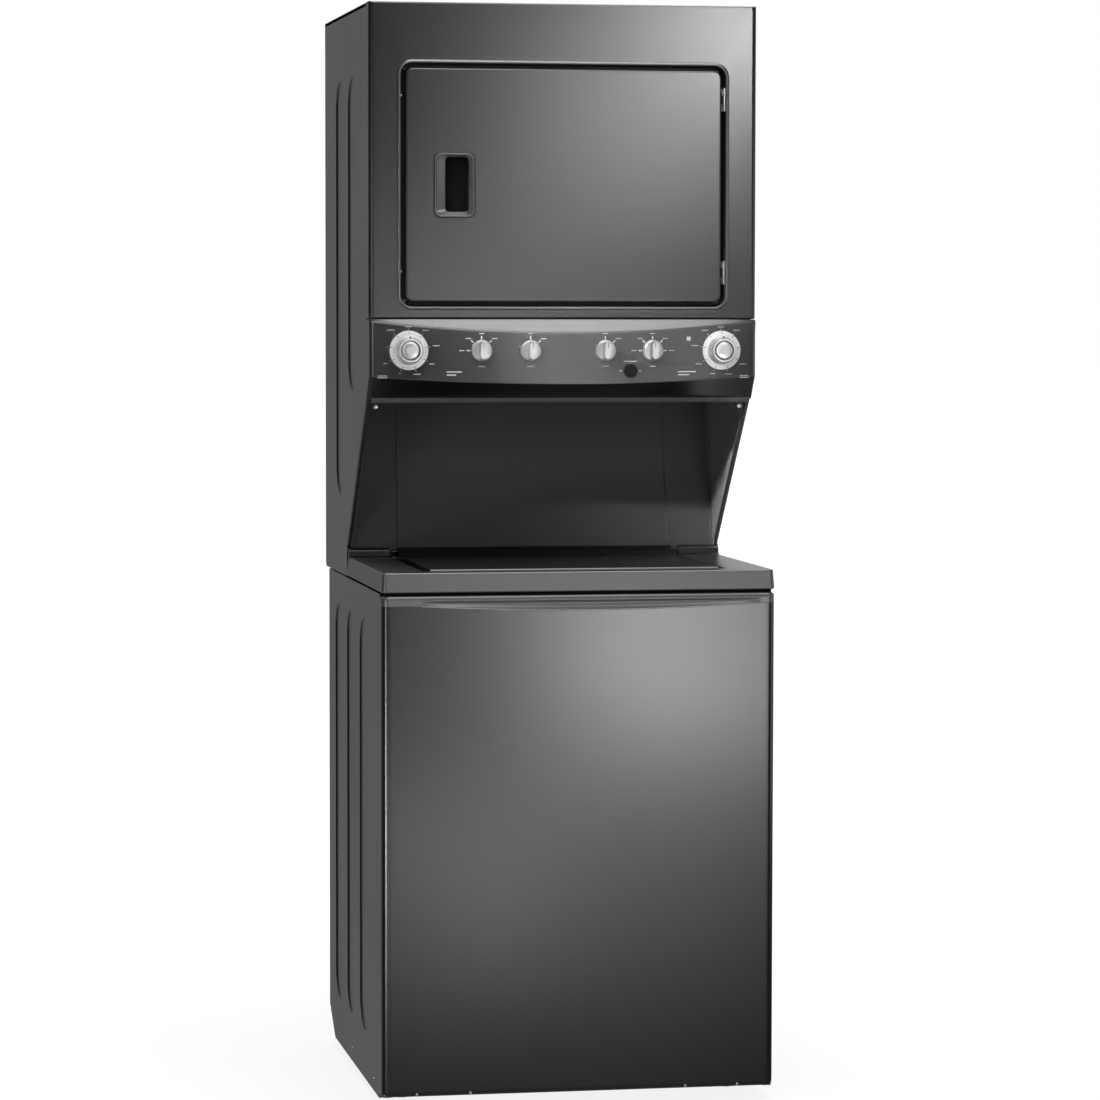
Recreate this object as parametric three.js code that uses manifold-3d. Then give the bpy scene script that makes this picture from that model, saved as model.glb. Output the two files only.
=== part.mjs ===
// A stacked laundry centre: a top-loading washer below, a tumble dryer above, and one control
// console between them. Units are millimetres, +Z is up and the front faces -Y.
// The exported group's origin is at the centre of the footprint, on the floor.
import * as THREE from "three";
import { mergeVertices } from "three/addons/utils/BufferGeometryUtils.js";
import Module from "manifold-3d";

const wasm = await Module();
wasm.setup();

// ---------------------------------------------------------------- driving dimensions
const width = 686;
const depth = 800;
const cabinetDepth = 760; // front face to back panel; the exhaust collar reaches the full depth
const legReach = 25; // levelling legs below the front panel's bottom edge
const cabinetTop = 1876.8; // above the front panel's bottom edge
const sheet = 1.2; // steel sheet
const gap = 0.4; // clearance between pieces that touch
const beltGap = 1.5; // clearance under the belts, whose arcs are faceted

const half = width / 2;
const sideFace = half - 0.6; // outer face of the side panels
const sideInner = sideFace - sheet;

// washer
const washerBack = 715;
const washerTop = 862;
const washerSeam = 34; // front panel's returns reach back to here
const deckTop = 899;
const deckSkirt = 865;
const deckShoulder = 455; // the deck is full width in front of here
const wellFront = 44.5;
const wellBack = 441.5;
const wellHalf = 255;
const lidHalf = 252.5;
const lidHinge = { y: 448, z: 908, r: 8 };
const tub = { y: 325, r: 262, bottom: 215, top: 800 };
const basket = { r: 238, bottom: 240, top: 770 };
const motorSpot = { x: 150, y: 470 };

// dryer
const dryerFront = 158;
const dryerSeam = 190;
const consoleTop = 1329;
const consoleLip = 1188;
const door = { half: 279.5, bottom: 1359.1, top: 1763.3, front: 154, back: 172 };
const recess = { half: 287, bottom: 1351.5, top: 1771.5, floor: 180 };
const opening = { half: 200, bottom: 1392, top: 1732, r: 70 };
const hingeAxis = { x: 284.5, y: 157 };
const drum = { z: 1565, r: 290, front: 226, back: 733 };
const motorAxis = { x: -150, z: 1150 };
const duct = { x: 110, z: 1080, r: 50.8 };

// console
const bow = 37; // how far the middle stands in front of the ends
const consoleEnd = 155; // front face at the two ends
const dialX = 276.4;
const selectorX = [-151, -66, 66, 151];
const controlZ = 1275.3;
const buttonSpot = { x: 111, z: 1240 };

const bodyColour = 0x4b4c4e;

// ---------------------------------------------------------------- solids
const yzToX = new THREE.Matrix4().makeBasis(
  new THREE.Vector3(0, 1, 0),
  new THREE.Vector3(0, 0, 1),
  new THREE.Vector3(1, 0, 0),
);
const xzToY = new THREE.Matrix4().makeRotationX(Math.PI / 2);

function toSolid(geometry) {
  const bare = geometry.clone();
  bare.deleteAttribute("normal");
  bare.deleteAttribute("uv");
  const merged = mergeVertices(bare, 1e-4);
  return new wasm.Manifold(
    new wasm.Mesh({
      numProp: 3,
      vertProperties: new Float32Array(merged.attributes.position.array),
      triVerts: new Uint32Array(merged.index.array),
    }),
  );
}

function toGeometry(solid) {
  const mesh = solid.getMesh();
  const geometry = new THREE.BufferGeometry();
  geometry.setAttribute("position", new THREE.BufferAttribute(mesh.vertProperties, 3));
  geometry.setIndex(new THREE.BufferAttribute(mesh.triVerts, 1));
  return geometry;
}

function mirrored(solid) {
  const geometry = toGeometry(solid);
  geometry.scale(-1, 1, 1);
  const index = geometry.index.array;
  for (let i = 0; i < index.length; i += 3) {
    [index[i + 1], index[i + 2]] = [index[i + 2], index[i + 1]];
  }
  return toSolid(geometry);
}

const join = (first, ...others) => others.reduce((sum, next) => sum.add(next), first);
const cut = (first, ...others) => others.reduce((rest, next) => rest.subtract(next), first);

function box(x0, x1, y0, y1, z0, z1) {
  const geometry = new THREE.BoxGeometry(x1 - x0, y1 - y0, z1 - z0);
  geometry.translate((x0 + x1) / 2, (y0 + y1) / 2, (z0 + z1) / 2);
  return toSolid(geometry);
}

function extruded(shape, length, steps) {
  const options = { depth: length, bevelEnabled: false, curveSegments: steps };
  return new THREE.ExtrudeGeometry(shape, options);
}

// A shape drawn in (x, y), between two heights.
function prismZ(shape, z0, z1, steps = 3) {
  return toSolid(extruded(shape, z1 - z0, steps).translate(0, 0, z0));
}

// A shape drawn in (x, z), between two depths.
function prismY(shape, y0, y1, steps = 3) {
  return toSolid(extruded(shape, y1 - y0, steps).applyMatrix4(xzToY).translate(0, y1, 0));
}

// A shape drawn in (y, z), between two widths.
function prismX(shape, x0, x1, steps = 3) {
  return toSolid(extruded(shape, x1 - x0, steps).applyMatrix4(yzToX).translate(x0, 0, 0));
}

function roundedRect(x0, x1, y0, y1, r) {
  const shape = new THREE.Shape();
  shape.absarc(x1 - r, y0 + r, r, -Math.PI / 2, 0, false);
  shape.absarc(x1 - r, y1 - r, r, 0, Math.PI / 2, false);
  shape.absarc(x0 + r, y1 - r, r, Math.PI / 2, Math.PI, false);
  shape.absarc(x0 + r, y0 + r, r, Math.PI, Math.PI * 1.5, false);
  return shape;
}

const polygon = (points) => new THREE.Shape(points.map(([x, y]) => new THREE.Vector2(x, y)));

// A profile of (radius, height) points turned about an upright axis at (x, y).
function latheZ(points, x, y, segments = 20) {
  const profile = points.map(([r, z]) => new THREE.Vector2(r, z));
  const geometry = new THREE.LatheGeometry(closed(profile), segments);
  return toSolid(geometry.applyMatrix4(xzToY).translate(x, y, 0));
}

// A profile of (radius, depth) points turned about a level axis at (x, z) that runs from
// front to back.
function latheY(points, x, z, segments = 20) {
  const profile = points.map(([r, y]) => new THREE.Vector2(r, y));
  return toSolid(new THREE.LatheGeometry(closed(profile), segments).translate(x, 0, z));
}

// A lathe turns its faces outwards when the profile runs anticlockwise, and a profile that
// doesn't both start and end on the axis is closed on itself.
function closed(profile) {
  const points = THREE.ShapeUtils.area(profile) < 0 ? [...profile].reverse() : profile;
  const onAxis = points[0].x === 0 && points[points.length - 1].x === 0;
  return onAxis ? points : [...points, points[0].clone()];
}

const rod = (r, from, to) => [[0, from], [r, from], [r, to], [0, to]];
const tube = (inner, outer, from, to) => [[inner, from], [outer, from], [outer, to], [inner, to]];

function rodX(r, x0, x1, y, z, segments = 16) {
  const circle = new THREE.Shape().absarc(y, z, r, 0, Math.PI * 2, false);
  return prismX(circle, x0, x1, segments);
}

// Rings of points, each ring anticlockwise when looked at from the last ring towards the first.
function loft(rings) {
  const count = rings[0].length;
  const positions = rings.flat(2);
  const index = [];
  for (let ring = 0; ring + 1 < rings.length; ring++) {
    for (let i = 0; i < count; i++) {
      const a = ring * count + i;
      const b = ring * count + ((i + 1) % count);
      index.push(a, b, b + count, a, b + count, a + count);
    }
  }
  return { positions, index, count, last: (rings.length - 1) * count };
}

function closeLoft({ positions, index, count, last }, flatRing) {
  for (const [a, b, c] of THREE.ShapeUtils.triangulateShape(flatRing, [])) {
    index.push(a, c, b);
    index.push(last + a, last + b, last + c);
  }
  const geometry = new THREE.BufferGeometry();
  geometry.setAttribute("position", new THREE.Float32BufferAttribute(positions, 3));
  geometry.setIndex(index);
  return toSolid(geometry);
}

// ---------------------------------------------------------------- the assembly
const model = new THREE.Group();
model.name = "laundry_centre";
// The pieces are drawn from the washer's front face (y = 0) and its bottom edge (z = 0).
const cabinet = new THREE.Group();
cabinet.position.set(0, -depth / 2, legReach);
model.add(cabinet);

function piece(name, solid, colour, roughness, metalness) {
  const material = new THREE.MeshStandardMaterial({ color: colour, roughness, metalness });
  const mesh = new THREE.Mesh(toGeometry(solid), material);
  mesh.name = name;
  cabinet.add(mesh);
  return mesh;
}

const painted = (name, solid) => piece(name, solid, bodyColour, 0.3, 0.35);
const galvanised = (name, solid) => piece(name, solid, 0xa9adb0, 0.45, 0.9);
const plastic = (name, solid) => piece(name, solid, 0xd9dadb, 0.5, 0);
const blackPlastic = (name, solid) => piece(name, solid, 0x1b1b1c, 0.45, 0);
const castIron = (name, solid) => piece(name, solid, 0x6f7276, 0.5, 0.8);
const rubber = (name, solid) => piece(name, solid, 0x191919, 0.85, 0);
const silver = (name, solid) => piece(name, solid, 0xbfc1c3, 0.22, 0.9);

// ---------------------------------------------------------------- base and legs
const legSpots = [
  ["front_left", -290, 145],
  ["front_right", 290, 145],
  ["rear_left", -290, 600],
  ["rear_right", 290, 600],
];

function baseFrame() {
  const rail = 34;
  const low = 3;
  const high = 30;
  const outer = { x: 338, front: 38, back: 640 };
  const ring = cut(
    box(-outer.x, outer.x, outer.front, outer.back, low, high),
    box(-outer.x + rail, outer.x - rail, outer.front + rail, outer.back - rail, low - 1, high + 1),
    box(-outer.x + 2, outer.x - 2, outer.front + 2, outer.back - 2, low - 1, high - 2),
  );
  const gussets = legSpots.map(([, x, y]) => {
    const inward = Math.sign(x) * 60;
    const [x0, x1] = [x - inward, Math.sign(x) * (outer.x - 1)].sort((a, b) => a - b);
    const [y0, y1] = y < 300 ? [outer.front + 1, y + 30] : [y - 30, outer.back - 1];
    return box(x0, x1, y0, y1, 20, high);
  });
  const bores = legSpots.map(([, x, y]) => latheZ(rod(6.4, low - 1, high + 1), x, y, 12));
  return cut(join(ring, ...gussets), ...bores);
}

function levellingLeg(x, y) {
  const thread = 6;
  const profile = [
    [0, -legReach],
    [21, -legReach],
    [23, -legReach + 3],
    [23, -legReach + 9],
    [14, -legReach + 14],
    [14, 7],
    [11, 7],
    [11, 15],
    [thread, 15],
    [thread, 62],
    [0, 62],
  ];
  return latheZ(profile, x, y, 14);
}

galvanised("base_frame", baseFrame());
for (const [place, x, y] of legSpots) {
  rubber(`leveling_leg_${place}`, levellingLeg(x, y));
}

// ---------------------------------------------------------------- washer casing
// A channel with round ends, pressed inwards into the right side panel.
const ribDepth = 3;

function capsule(y0, y1, z0, z1) {
  return roundedRect(y0, y1, z0, z1, (y1 - y0) / 2 - 0.01);
}

function pressRibs(panel, ribs) {
  const bulges = ribs.map(([y0, y1, z0, z1]) =>
    prismX(capsule(y0, y1, z0, z1), sideInner - ribDepth, sideInner + 0.2, 2),
  );
  const pockets = ribs.map(([y0, y1, z0, z1]) =>
    prismX(
      capsule(y0 + sheet, y1 - sheet, z0 + sheet, z1 - sheet),
      sideFace - ribDepth,
      sideFace + 1,
      2,
    ),
  );
  return cut(join(panel, ...bulges), ...pockets);
}

const washerRibs = [
  [169, 288, 77, 811],
  [353, 457, 77, 811],
  [517, 620, 77, 811],
];

function washerCabinet() {
  const front = washerSeam + 2;
  const flange = 22;
  const bottom = -8;
  const side = polygon([
    [front, bottom + 6],
    [front + 6, bottom],
    [632, bottom],
    [washerBack, 44],
    [washerBack, washerTop],
    [front, washerTop],
  ]);
  const rightSide = join(
    prismX(side, sideInner, sideFace),
    box(sideInner - flange, sideInner + 0.2, front, front + sheet, 2, washerTop),
  );
  const right = pressRibs(rightSide, washerRibs);
  const back = cut(
    box(-sideInner - 0.2, sideInner + 0.2, washerBack - sheet, washerBack, 44, washerTop),
    prismY(roundedRect(-236, -164, 782, 818, 4), washerBack - 5, washerBack + 5, 1),
    latheY(rod(16, washerBack - 5, washerBack + 5), 236, 800, 12),
  );
  return join(right, mirrored(right), back);
}

painted("washer_cabinet", washerCabinet());

// The pressed grip under the deck: a smile-shaped hollow across the front panel.
function smile(inset) {
  const tipLeft = -290 + inset * 3;
  const tipRight = 310 - inset * 3;
  const middle = (tipLeft + tipRight) / 2;
  const shape = new THREE.Shape();
  shape.moveTo(tipLeft, 851);
  shape.quadraticCurveTo(middle, 851 - 34 + inset * 2, tipRight, 851);
  shape.quadraticCurveTo(middle, 851 + 2 - inset * 2, tipLeft, 851);
  return shape;
}

function washerFrontPanel() {
  const [bottom, top] = [0, 860];
  const plan = (inset, y1) => {
    const shape = new THREE.Shape();
    const r = 12 - inset;
    shape.moveTo(-half + inset, y1);
    shape.absarc(-half + 12, 12, r, Math.PI, Math.PI * 1.5, false);
    shape.absarc(half - 12, 12, r, -Math.PI / 2, 0, false);
    shape.lineTo(half - inset, y1);
    return shape;
  };
  const shell = cut(
    prismZ(plan(0, washerSeam), bottom, top, 3),
    prismZ(plan(sheet, washerSeam + 5), bottom + sheet, top - sheet, 3),
  );
  const backCut = box(-half + 25, half - 25, washerSeam - 12, washerSeam + 5, bottom - 5, top + 5);
  const pressed = prismY(smile(0), 1, 4.6, 8);
  const hollow = prismY(smile(0.8), -5, 3.2, 8);
  return cut(join(cut(shell, backCut), pressed), hollow);
}

painted("washer_front_panel", washerFrontPanel());

function washerDeck() {
  const r = 9;
  const wall = 1.6;
  const narrow = sideInner - 8;
  const plan = (inset) => {
    const shape = new THREE.Shape();
    const edge = half - inset;
    shape.absarc(-half + r, r, r - inset, Math.PI, Math.PI * 1.5, false);
    shape.absarc(half - r, r, r - inset, -Math.PI / 2, 0, false);
    shape.lineTo(edge, deckShoulder - inset);
    shape.lineTo(narrow - inset, deckShoulder - inset);
    shape.lineTo(narrow - inset, washerBack - 3 - inset);
    shape.lineTo(-narrow + inset, washerBack - 3 - inset);
    shape.lineTo(-narrow + inset, deckShoulder - inset);
    shape.lineTo(-edge, deckShoulder - inset);
    return shape;
  };
  const shell = cut(
    prismZ(plan(0), deckSkirt, deckTop, 2),
    prismZ(plan(wall), deckSkirt - 1, deckTop - wall, 2),
  );
  const wellFloor = 880;
  const well = box(-wellHalf - wall, wellHalf + wall, wellFront - wall, wellBack + wall,
    wellFloor - wall, deckTop - 0.5);
  const hollow = box(-wellHalf, wellHalf, wellFront, wellBack, wellFloor, deckTop + 5);
  const mouth = prismZ(roundedRect(-205, 205, 92, 425, 60), wellFloor - 5, deckTop + 5, 2);
  const ridge = (side) => {
    const [x0, x1] = side > 0 ? [256, 341] : [-341, -256];
    const bar = join(
      rodX(lidHinge.r, x0, x1, lidHinge.y, lidHinge.z, 6),
      box(x0, x1, lidHinge.y - 5, lidHinge.y + 5, deckTop - 1, lidHinge.z - 4),
    );
    const socket = side > 0 ? [x0 - 1, x0 + 10] : [x1 - 10, x1 + 1];
    return cut(bar, rodX(3, ...socket, lidHinge.y, lidHinge.z, 10));
  };
  return cut(join(shell, well, ridge(1), ridge(-1)), hollow, mouth);
}

painted("washer_deck", washerDeck());

function washerLid() {
  const wall = 1.6;
  const [front, back] = [47, 439];
  const [low, high] = [883, 900.6];
  const outline = (inset) =>
    roundedRect(-lidHalf + inset, lidHalf - inset, front + inset, back - inset, 8 - inset);
  const tray = cut(
    prismZ(outline(0), low, high, 2),
    prismZ(outline(wall), low - 1, high - wall, 2),
  );
  const roll = rodX(lidHinge.r, -lidHalf, lidHalf, lidHinge.y, lidHinge.z, 6);
  const web = box(-lidHalf + 8, lidHalf - 8, back - 4, lidHinge.y, 899.6, 903.4);
  const pins = rodX(2.6, -263, 263, lidHinge.y, lidHinge.z, 5);
  return join(tray, roll, web, pins);
}

painted("washer_lid", washerLid());

// ---------------------------------------------------------------- washer works
const earReach = 386; // from the tub's axis to the suspension rods
const rodSpots = [
  ["front_left", -290, tub.y - 255],
  ["front_right", 290, tub.y - 255],
  ["rear_left", -290, tub.y + 255],
  ["rear_right", 290, tub.y + 255],
];

function outerTub() {
  const wall = 3;
  const profile = [
    [22, tub.bottom],
    [tub.r - 14, tub.bottom],
    [tub.r, tub.bottom + 14],
    [tub.r, tub.top],
    [tub.r - wall, tub.top],
    [tub.r - wall, tub.bottom + 15],
    [tub.r - 15, tub.bottom + wall],
    [22, tub.bottom + wall],
  ];
  const ears = rodSpots.map(([, x, y]) => {
    const angle = Math.atan2(y - tub.y, x);
    const arm = new THREE.BoxGeometry(earReach - tub.r + 4, 44, 8);
    arm.translate((earReach + tub.r) / 2 - 1, 0, 304).rotateZ(angle).translate(0, tub.y, 0);
    return toSolid(arm);
  });
  const cups = rodSpots.map(([, x, y]) => latheZ(tube(15, 18, 236, 302), x, y, 10));
  const bores = rodSpots.map(([, x, y]) => latheZ(rod(5, 290, 320), x, y, 8));
  return cut(join(latheZ(profile, 0, tub.y, 28), ...ears, ...cups), ...bores);
}

function tubCover() {
  const profile = [
    [204, 812],
    [tub.r - 4, tub.top + gap],
    [tub.r + 5, tub.top + gap],
    [tub.r + 5, tub.top + 8],
    [tub.r - 2, tub.top + 10],
    [204, 820],
  ];
  return latheZ(profile, 0, tub.y, 28);
}

function washBasket() {
  const wall = 1.6;
  const profile = [
    [16, basket.bottom],
    [basket.r - 22, basket.bottom],
    [basket.r, basket.bottom + 22],
    [basket.r, basket.top],
    [basket.r - wall, basket.top],
    [basket.r - wall, basket.bottom + 23],
    [basket.r - 23, basket.bottom + wall],
    [16, basket.bottom + wall],
  ];
  return latheZ(profile, 0, tub.y, 28);
}

function agitator() {
  const profile = [
    [15, 246],
    [148, 246],
    [152, 252],
    [96, 268],
    [58, 300],
    [44, 360],
    [38, 700],
    [52, 712],
    [52, 742],
    [36, 752],
    [0, 756],
    [0, 690],
    [15, 690],
  ];
  const vane = polygon([
    [30, 262],
    [140, 252],
    [118, 300],
    [78, 420],
    [58, 640],
    [30, 660],
  ]);
  const vanes = [0, 1, 2, 3].map((turn) => {
    const geometry = extruded(vane, 8, 1).translate(0, 0, -4).applyMatrix4(xzToY);
    return toSolid(geometry.rotateZ((turn * Math.PI) / 2).translate(0, tub.y, 0));
  });
  const bore = latheZ(rod(15, 240, 690), 0, tub.y, 14);
  return cut(join(latheZ(profile, 0, tub.y, 20), ...vanes), bore);
}

const pulley = { groove: 64, rim: 70, z0: 62, z1: 80 };
const motorPulley = { groove: 17, rim: 22 };

function grooved(bore, groove, rim, z0, z1) {
  return [
    [bore, z0],
    [rim, z0],
    [rim, z0 + 3],
    [groove, z0 + 4],
    [groove, z1 - 4],
    [rim, z1 - 3],
    [rim, z1],
    [bore, z1],
  ];
}

function spinShaft() {
  const profile = [
    [0, 56],
    [12, 56],
    [12, 228],
    [52, 228],
    [52, basket.bottom - gap],
    [12, basket.bottom - gap],
    [12, 640],
    [0, 640],
  ];
  return latheZ(profile, 0, tub.y, 14);
}

function gearcase() {
  const profile = [
    [13, 92],
    [70, 92],
    [92, 112],
    [92, 196],
    [60, tub.bottom - gap],
    [13, tub.bottom - gap],
  ];
  return latheZ(profile, 0, tub.y, 20);
}

function washerMotor() {
  const { x, y } = motorSpot;
  const can = [[9, 92], [64, 92], [66, 96], [66, 190], [58, 200], [9, 200]];
  const bracket = box(x - 50, x + 50, y - 40, y + 40, 198, tub.bottom - gap);
  return cut(join(latheZ(can, x, y, 16), bracket), latheZ(rod(9, 80, 190), x, y, 10));
}

function washerMotorPulley() {
  const { x, y } = motorSpot;
  const shaft = latheZ(rod(7, pulley.z0, 180), x, y, 10);
  const wheel = latheZ(
    grooved(5, motorPulley.groove, motorPulley.rim, pulley.z0, pulley.z1), x, y, 14);
  return join(shaft, wheel);
}

// The outline round two circles, drawn as two arcs joined by their common tangents.
function beltLoop(a, ra, b, rb) {
  const along = Math.atan2(b.y - a.y, b.x - a.x);
  const distance = Math.hypot(b.x - a.x, b.y - a.y);
  const tilt = Math.acos((ra - rb) / distance);
  const shape = new THREE.Shape();
  shape.absarc(b.x, b.y, rb, along - tilt, along + tilt, false);
  shape.absarc(a.x, a.y, ra, along + tilt, along - tilt + Math.PI * 2, false);
  return shape;
}

function washerBelt() {
  const hub = { x: 0, y: tub.y };
  const thick = 4;
  const inner = [pulley.groove + beltGap, motorPulley.groove + beltGap];
  const [low, high] = [pulley.z0 + 5, pulley.z1 - 5];
  const outside = beltLoop(hub, inner[0] + thick, motorSpot, inner[1] + thick);
  const inside = beltLoop(hub, inner[0], motorSpot, inner[1]);
  return cut(prismZ(outside, low, high, 8), prismZ(inside, low - 1, high + 1, 8));
}

function drainPump() {
  const body = latheZ(rod(44, 100, 170), -150, 190, 14);
  const neck = latheZ(tube(14, 19, 165, tub.bottom - gap), -150, 190, 10);
  const spout = latheY(rod(14, 215, 268), -150, 128, 8);
  return cut(join(body, neck, spout), latheY(rod(10, 240, 275), -150, 128, 8));
}

function suspensionRod(x, y) {
  const profile = [
    [0, 266],
    [12, 266],
    [12, 271],
    [4, 271],
    [4, 838],
    [15, 838],
    [15, 850],
    [0, 850],
  ];
  return latheZ(profile, x, y, 10);
}

function inletValve() {
  const block = box(-232, -168, 672, washerBack - 4, 786, 814);
  const ports = [-216, -184].map((x) =>
    cut(latheY(rod(12, 700, 748), x, 800, 10), latheY(rod(8, 715, 760), x, 800, 8)),
  );
  return join(block, ...ports);
}

plastic("outer_tub", outerTub());
plastic("tub_cover", tubCover());
silver("wash_basket", washBasket());
plastic("balance_ring", latheZ(tube(206, 240, basket.top + gap, 797), 0, tub.y, 28));
blackPlastic("agitator", agitator());
castIron("spin_shaft", spinShaft());
castIron("gearcase", gearcase());
castIron("washer_pulley", latheZ(
  grooved(12.5, pulley.groove, pulley.rim, pulley.z0, pulley.z1), 0, tub.y, 24));
castIron("washer_motor", washerMotor());
castIron("washer_motor_pulley", washerMotorPulley());
rubber("washer_belt", washerBelt());
plastic("drain_pump", drainPump());
for (const [place, x, y] of rodSpots) {
  galvanised(`suspension_rod_${place}`, suspensionRod(x, y));
}
plastic("water_inlet_valve", inletValve());

// ---------------------------------------------------------------- dryer casing
const slope = { top: [dryerSeam + 2, 1194], foot: [453, 919.5] };
const dryerRibs = [
  [323, 435, 1200, 1760],
  [495, 602, 1007, 1760],
];

function dryerSide() {
  const front = dryerSeam + 2;
  const back = cabinetDepth - sheet;
  const top = cabinetTop - sheet - gap;
  const panel = prismX(
    polygon([
      [back, 870],
      [back, top],
      [front, top],
      slope.top,
      slope.foot,
      [456, 912],
      [456, 866],
      [back - 6, 866],
    ]),
    sideInner,
    sideFace,
  );
  const frontFlange = box(sideInner - 20, sideInner + 0.2, front, front + sheet, 1335, top - 6);
  const legFlange = prismX(
    polygon([
      slope.top,
      slope.foot,
      [slope.foot[0] + 1.6, slope.foot[1]],
      [slope.top[0] + 1.6, slope.top[1]],
    ]),
    sideInner - 7,
    sideInner + 0.2,
  );
  return pressRibs(join(panel, frontFlange, legFlange), dryerRibs);
}

function dryerTop() {
  const inner = sideInner - gap;
  const [low, high] = [cabinetTop - sheet, cabinetTop];
  const lip = 14;
  return join(
    box(-sideFace, sideFace, dryerSeam + 1, cabinetDepth, low, high),
    box(-inner, -inner + sheet, 215, 740, low - lip, low + 0.2),
    box(inner - sheet, inner, 215, 740, low - lip, low + 0.2),
  );
}

function dryerBack() {
  const edge = sideInner - gap;
  const face = cabinetDepth - sheet;
  const plate = box(-edge, edge, face - sheet, face, 868, cabinetTop - sheet - gap);
  const terminalBox = cut(
    box(-285, -205, face - 0.5, cabinetDepth + 22, 960, 1060),
    box(-283, -207, face - 2, cabinetDepth + 20, 962, 1058),
    latheZ(rod(14, 955, 970), -245, cabinetDepth + 9, 12),
  );
  const vents = [];
  for (let row = 0; row < 6; row++) {
    const z = 1180 + row * 22;
    vents.push(box(-90, 90, face - 5, face + 5, z, z + 8));
  }
  const ductHole = latheY(rod(duct.r + 2, face - 5, face + 5), duct.x, duct.z, 24);
  return cut(join(plate, terminalBox), ductHole, ...vents);
}

function dryerFloor() {
  const edge = sideInner - ribDepth - sheet - 2;
  const [front, back] = [470, 750];
  const low = deckTop + 2;
  return cut(
    box(-edge, edge, front, back, low, low + 30),
    box(-edge + 1.6, edge - 1.6, front + 1.6, back - 1.6, low + 1.6, low + 40),
  );
}

function dryerFrontPanel() {
  const [bottom, top] = [consoleTop + 0.8, cabinetTop];
  const r = 9;
  const plan = (inset, y1) => {
    const shape = new THREE.Shape();
    shape.moveTo(-half + inset, y1);
    shape.absarc(-half + r, dryerFront + r, r - inset, Math.PI, Math.PI * 1.5, false);
    shape.absarc(half - r, dryerFront + r, r - inset, -Math.PI / 2, 0, false);
    shape.lineTo(half - inset, y1);
    return shape;
  };
  const shell = cut(
    prismZ(plan(0, dryerSeam), bottom, top, 3),
    prismZ(plan(sheet, dryerSeam + 5), bottom + sheet, top - sheet, 3),
  );
  const { half: w, bottom: z0, top: z1, floor } = recess;
  const pocketShell = prismY(
    roundedRect(-w - sheet, w + sheet, z0 - sheet, z1 + sheet, 21), dryerFront + 0.5, floor + sheet);
  const pocket = prismY(roundedRect(-w, w, z0, z1, 20), dryerFront - 5, floor);
  const mouth = prismY(
    roundedRect(-opening.half, opening.half, opening.bottom, opening.top, opening.r),
    dryerFront,
    floor + 10,
    4,
  );
  const catchSlot = box(-266, -254, floor - 3, floor + 5, 1552, 1572);
  return cut(join(shell, pocketShell), pocket, mouth, catchSlot);
}

painted("dryer_left_side", mirrored(dryerSide()));
painted("dryer_right_side", dryerSide());
painted("dryer_top", dryerTop());
galvanised("dryer_back", dryerBack());
galvanised("dryer_floor", dryerFloor());
painted("dryer_front_panel", dryerFrontPanel());

// The formed panel behind the washer's lid: a leaning back with a pressed middle,
// two cheeks that follow the sloping legs, and a ceiling under the console.
function recessPanel() {
  const cheekOuter = sideInner - 7;
  const [low, high] = [900, 1184];
  const lean = (508 - 456.8) / (1173 - 905);
  const faceAt = (z) => 456.8 + (z - 905) * lean;
  const ring = (z) => {
    const y = faceAt(z);
    const step = 2.5;
    const crease = 251 - ((z - low) / (high - low)) * 4;
    const front = [
      [-cheekOuter, 0],
      [-crease, 0],
      [-crease + 2, step],
      [crease - 2, step],
      [crease, 0],
      [cheekOuter, 0],
    ];
    const rear = front.map(([x, d]) => [x - Math.sign(x) * 0.7 * (d > 0), d + sheet]).reverse();
    return [...front, ...rear].map(([x, d]) => [x, y + d, z]);
  };
  const rings = [ring(low), ring(high)];
  const flat = rings[0].map(([x, y]) => new THREE.Vector2(x, y));
  const back = closeLoft(loft(rings), flat);
  const cheekLow = lidHinge.z + lidHinge.r + 1.5;
  const cheek = polygon([
    [faceAt(cheekLow) + 0.6, cheekLow],
    [faceAt(high) + 0.6, high],
    [slope.top[0] + 16, high],
    [slope.foot[0] - 1, slope.foot[1] + 4],
    [slope.foot[0] - 1, cheekLow],
  ]);
  const ceiling = box(-cheekOuter, cheekOuter, 202, faceAt(high) + 1, high - 0.5, high + sheet);
  // The ceiling's front edge turns up behind the console's lip.
  const lipFront = dryerSeam + 1;
  const lipHalf = cheekOuter - gap;
  const ceilingFront = box(-lipHalf, lipHalf, lipFront, 203, high - 0.5, high + sheet);
  const upturn = box(-lipHalf, lipHalf, lipFront, lipFront + sheet, high, high + 16);
  return join(
    back,
    prismX(cheek, cheekOuter - sheet, cheekOuter),
    prismX(cheek, -cheekOuter, -cheekOuter + sheet),
    ceiling,
    ceilingFront,
    upturn,
  );
}

painted("recess_panel", recessPanel());

// ---------------------------------------------------------------- console
const bowAt = (x) => 1 - (x / half) ** 2;
const consoleFace = (x) => consoleEnd - bow * bowAt(x);

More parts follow.
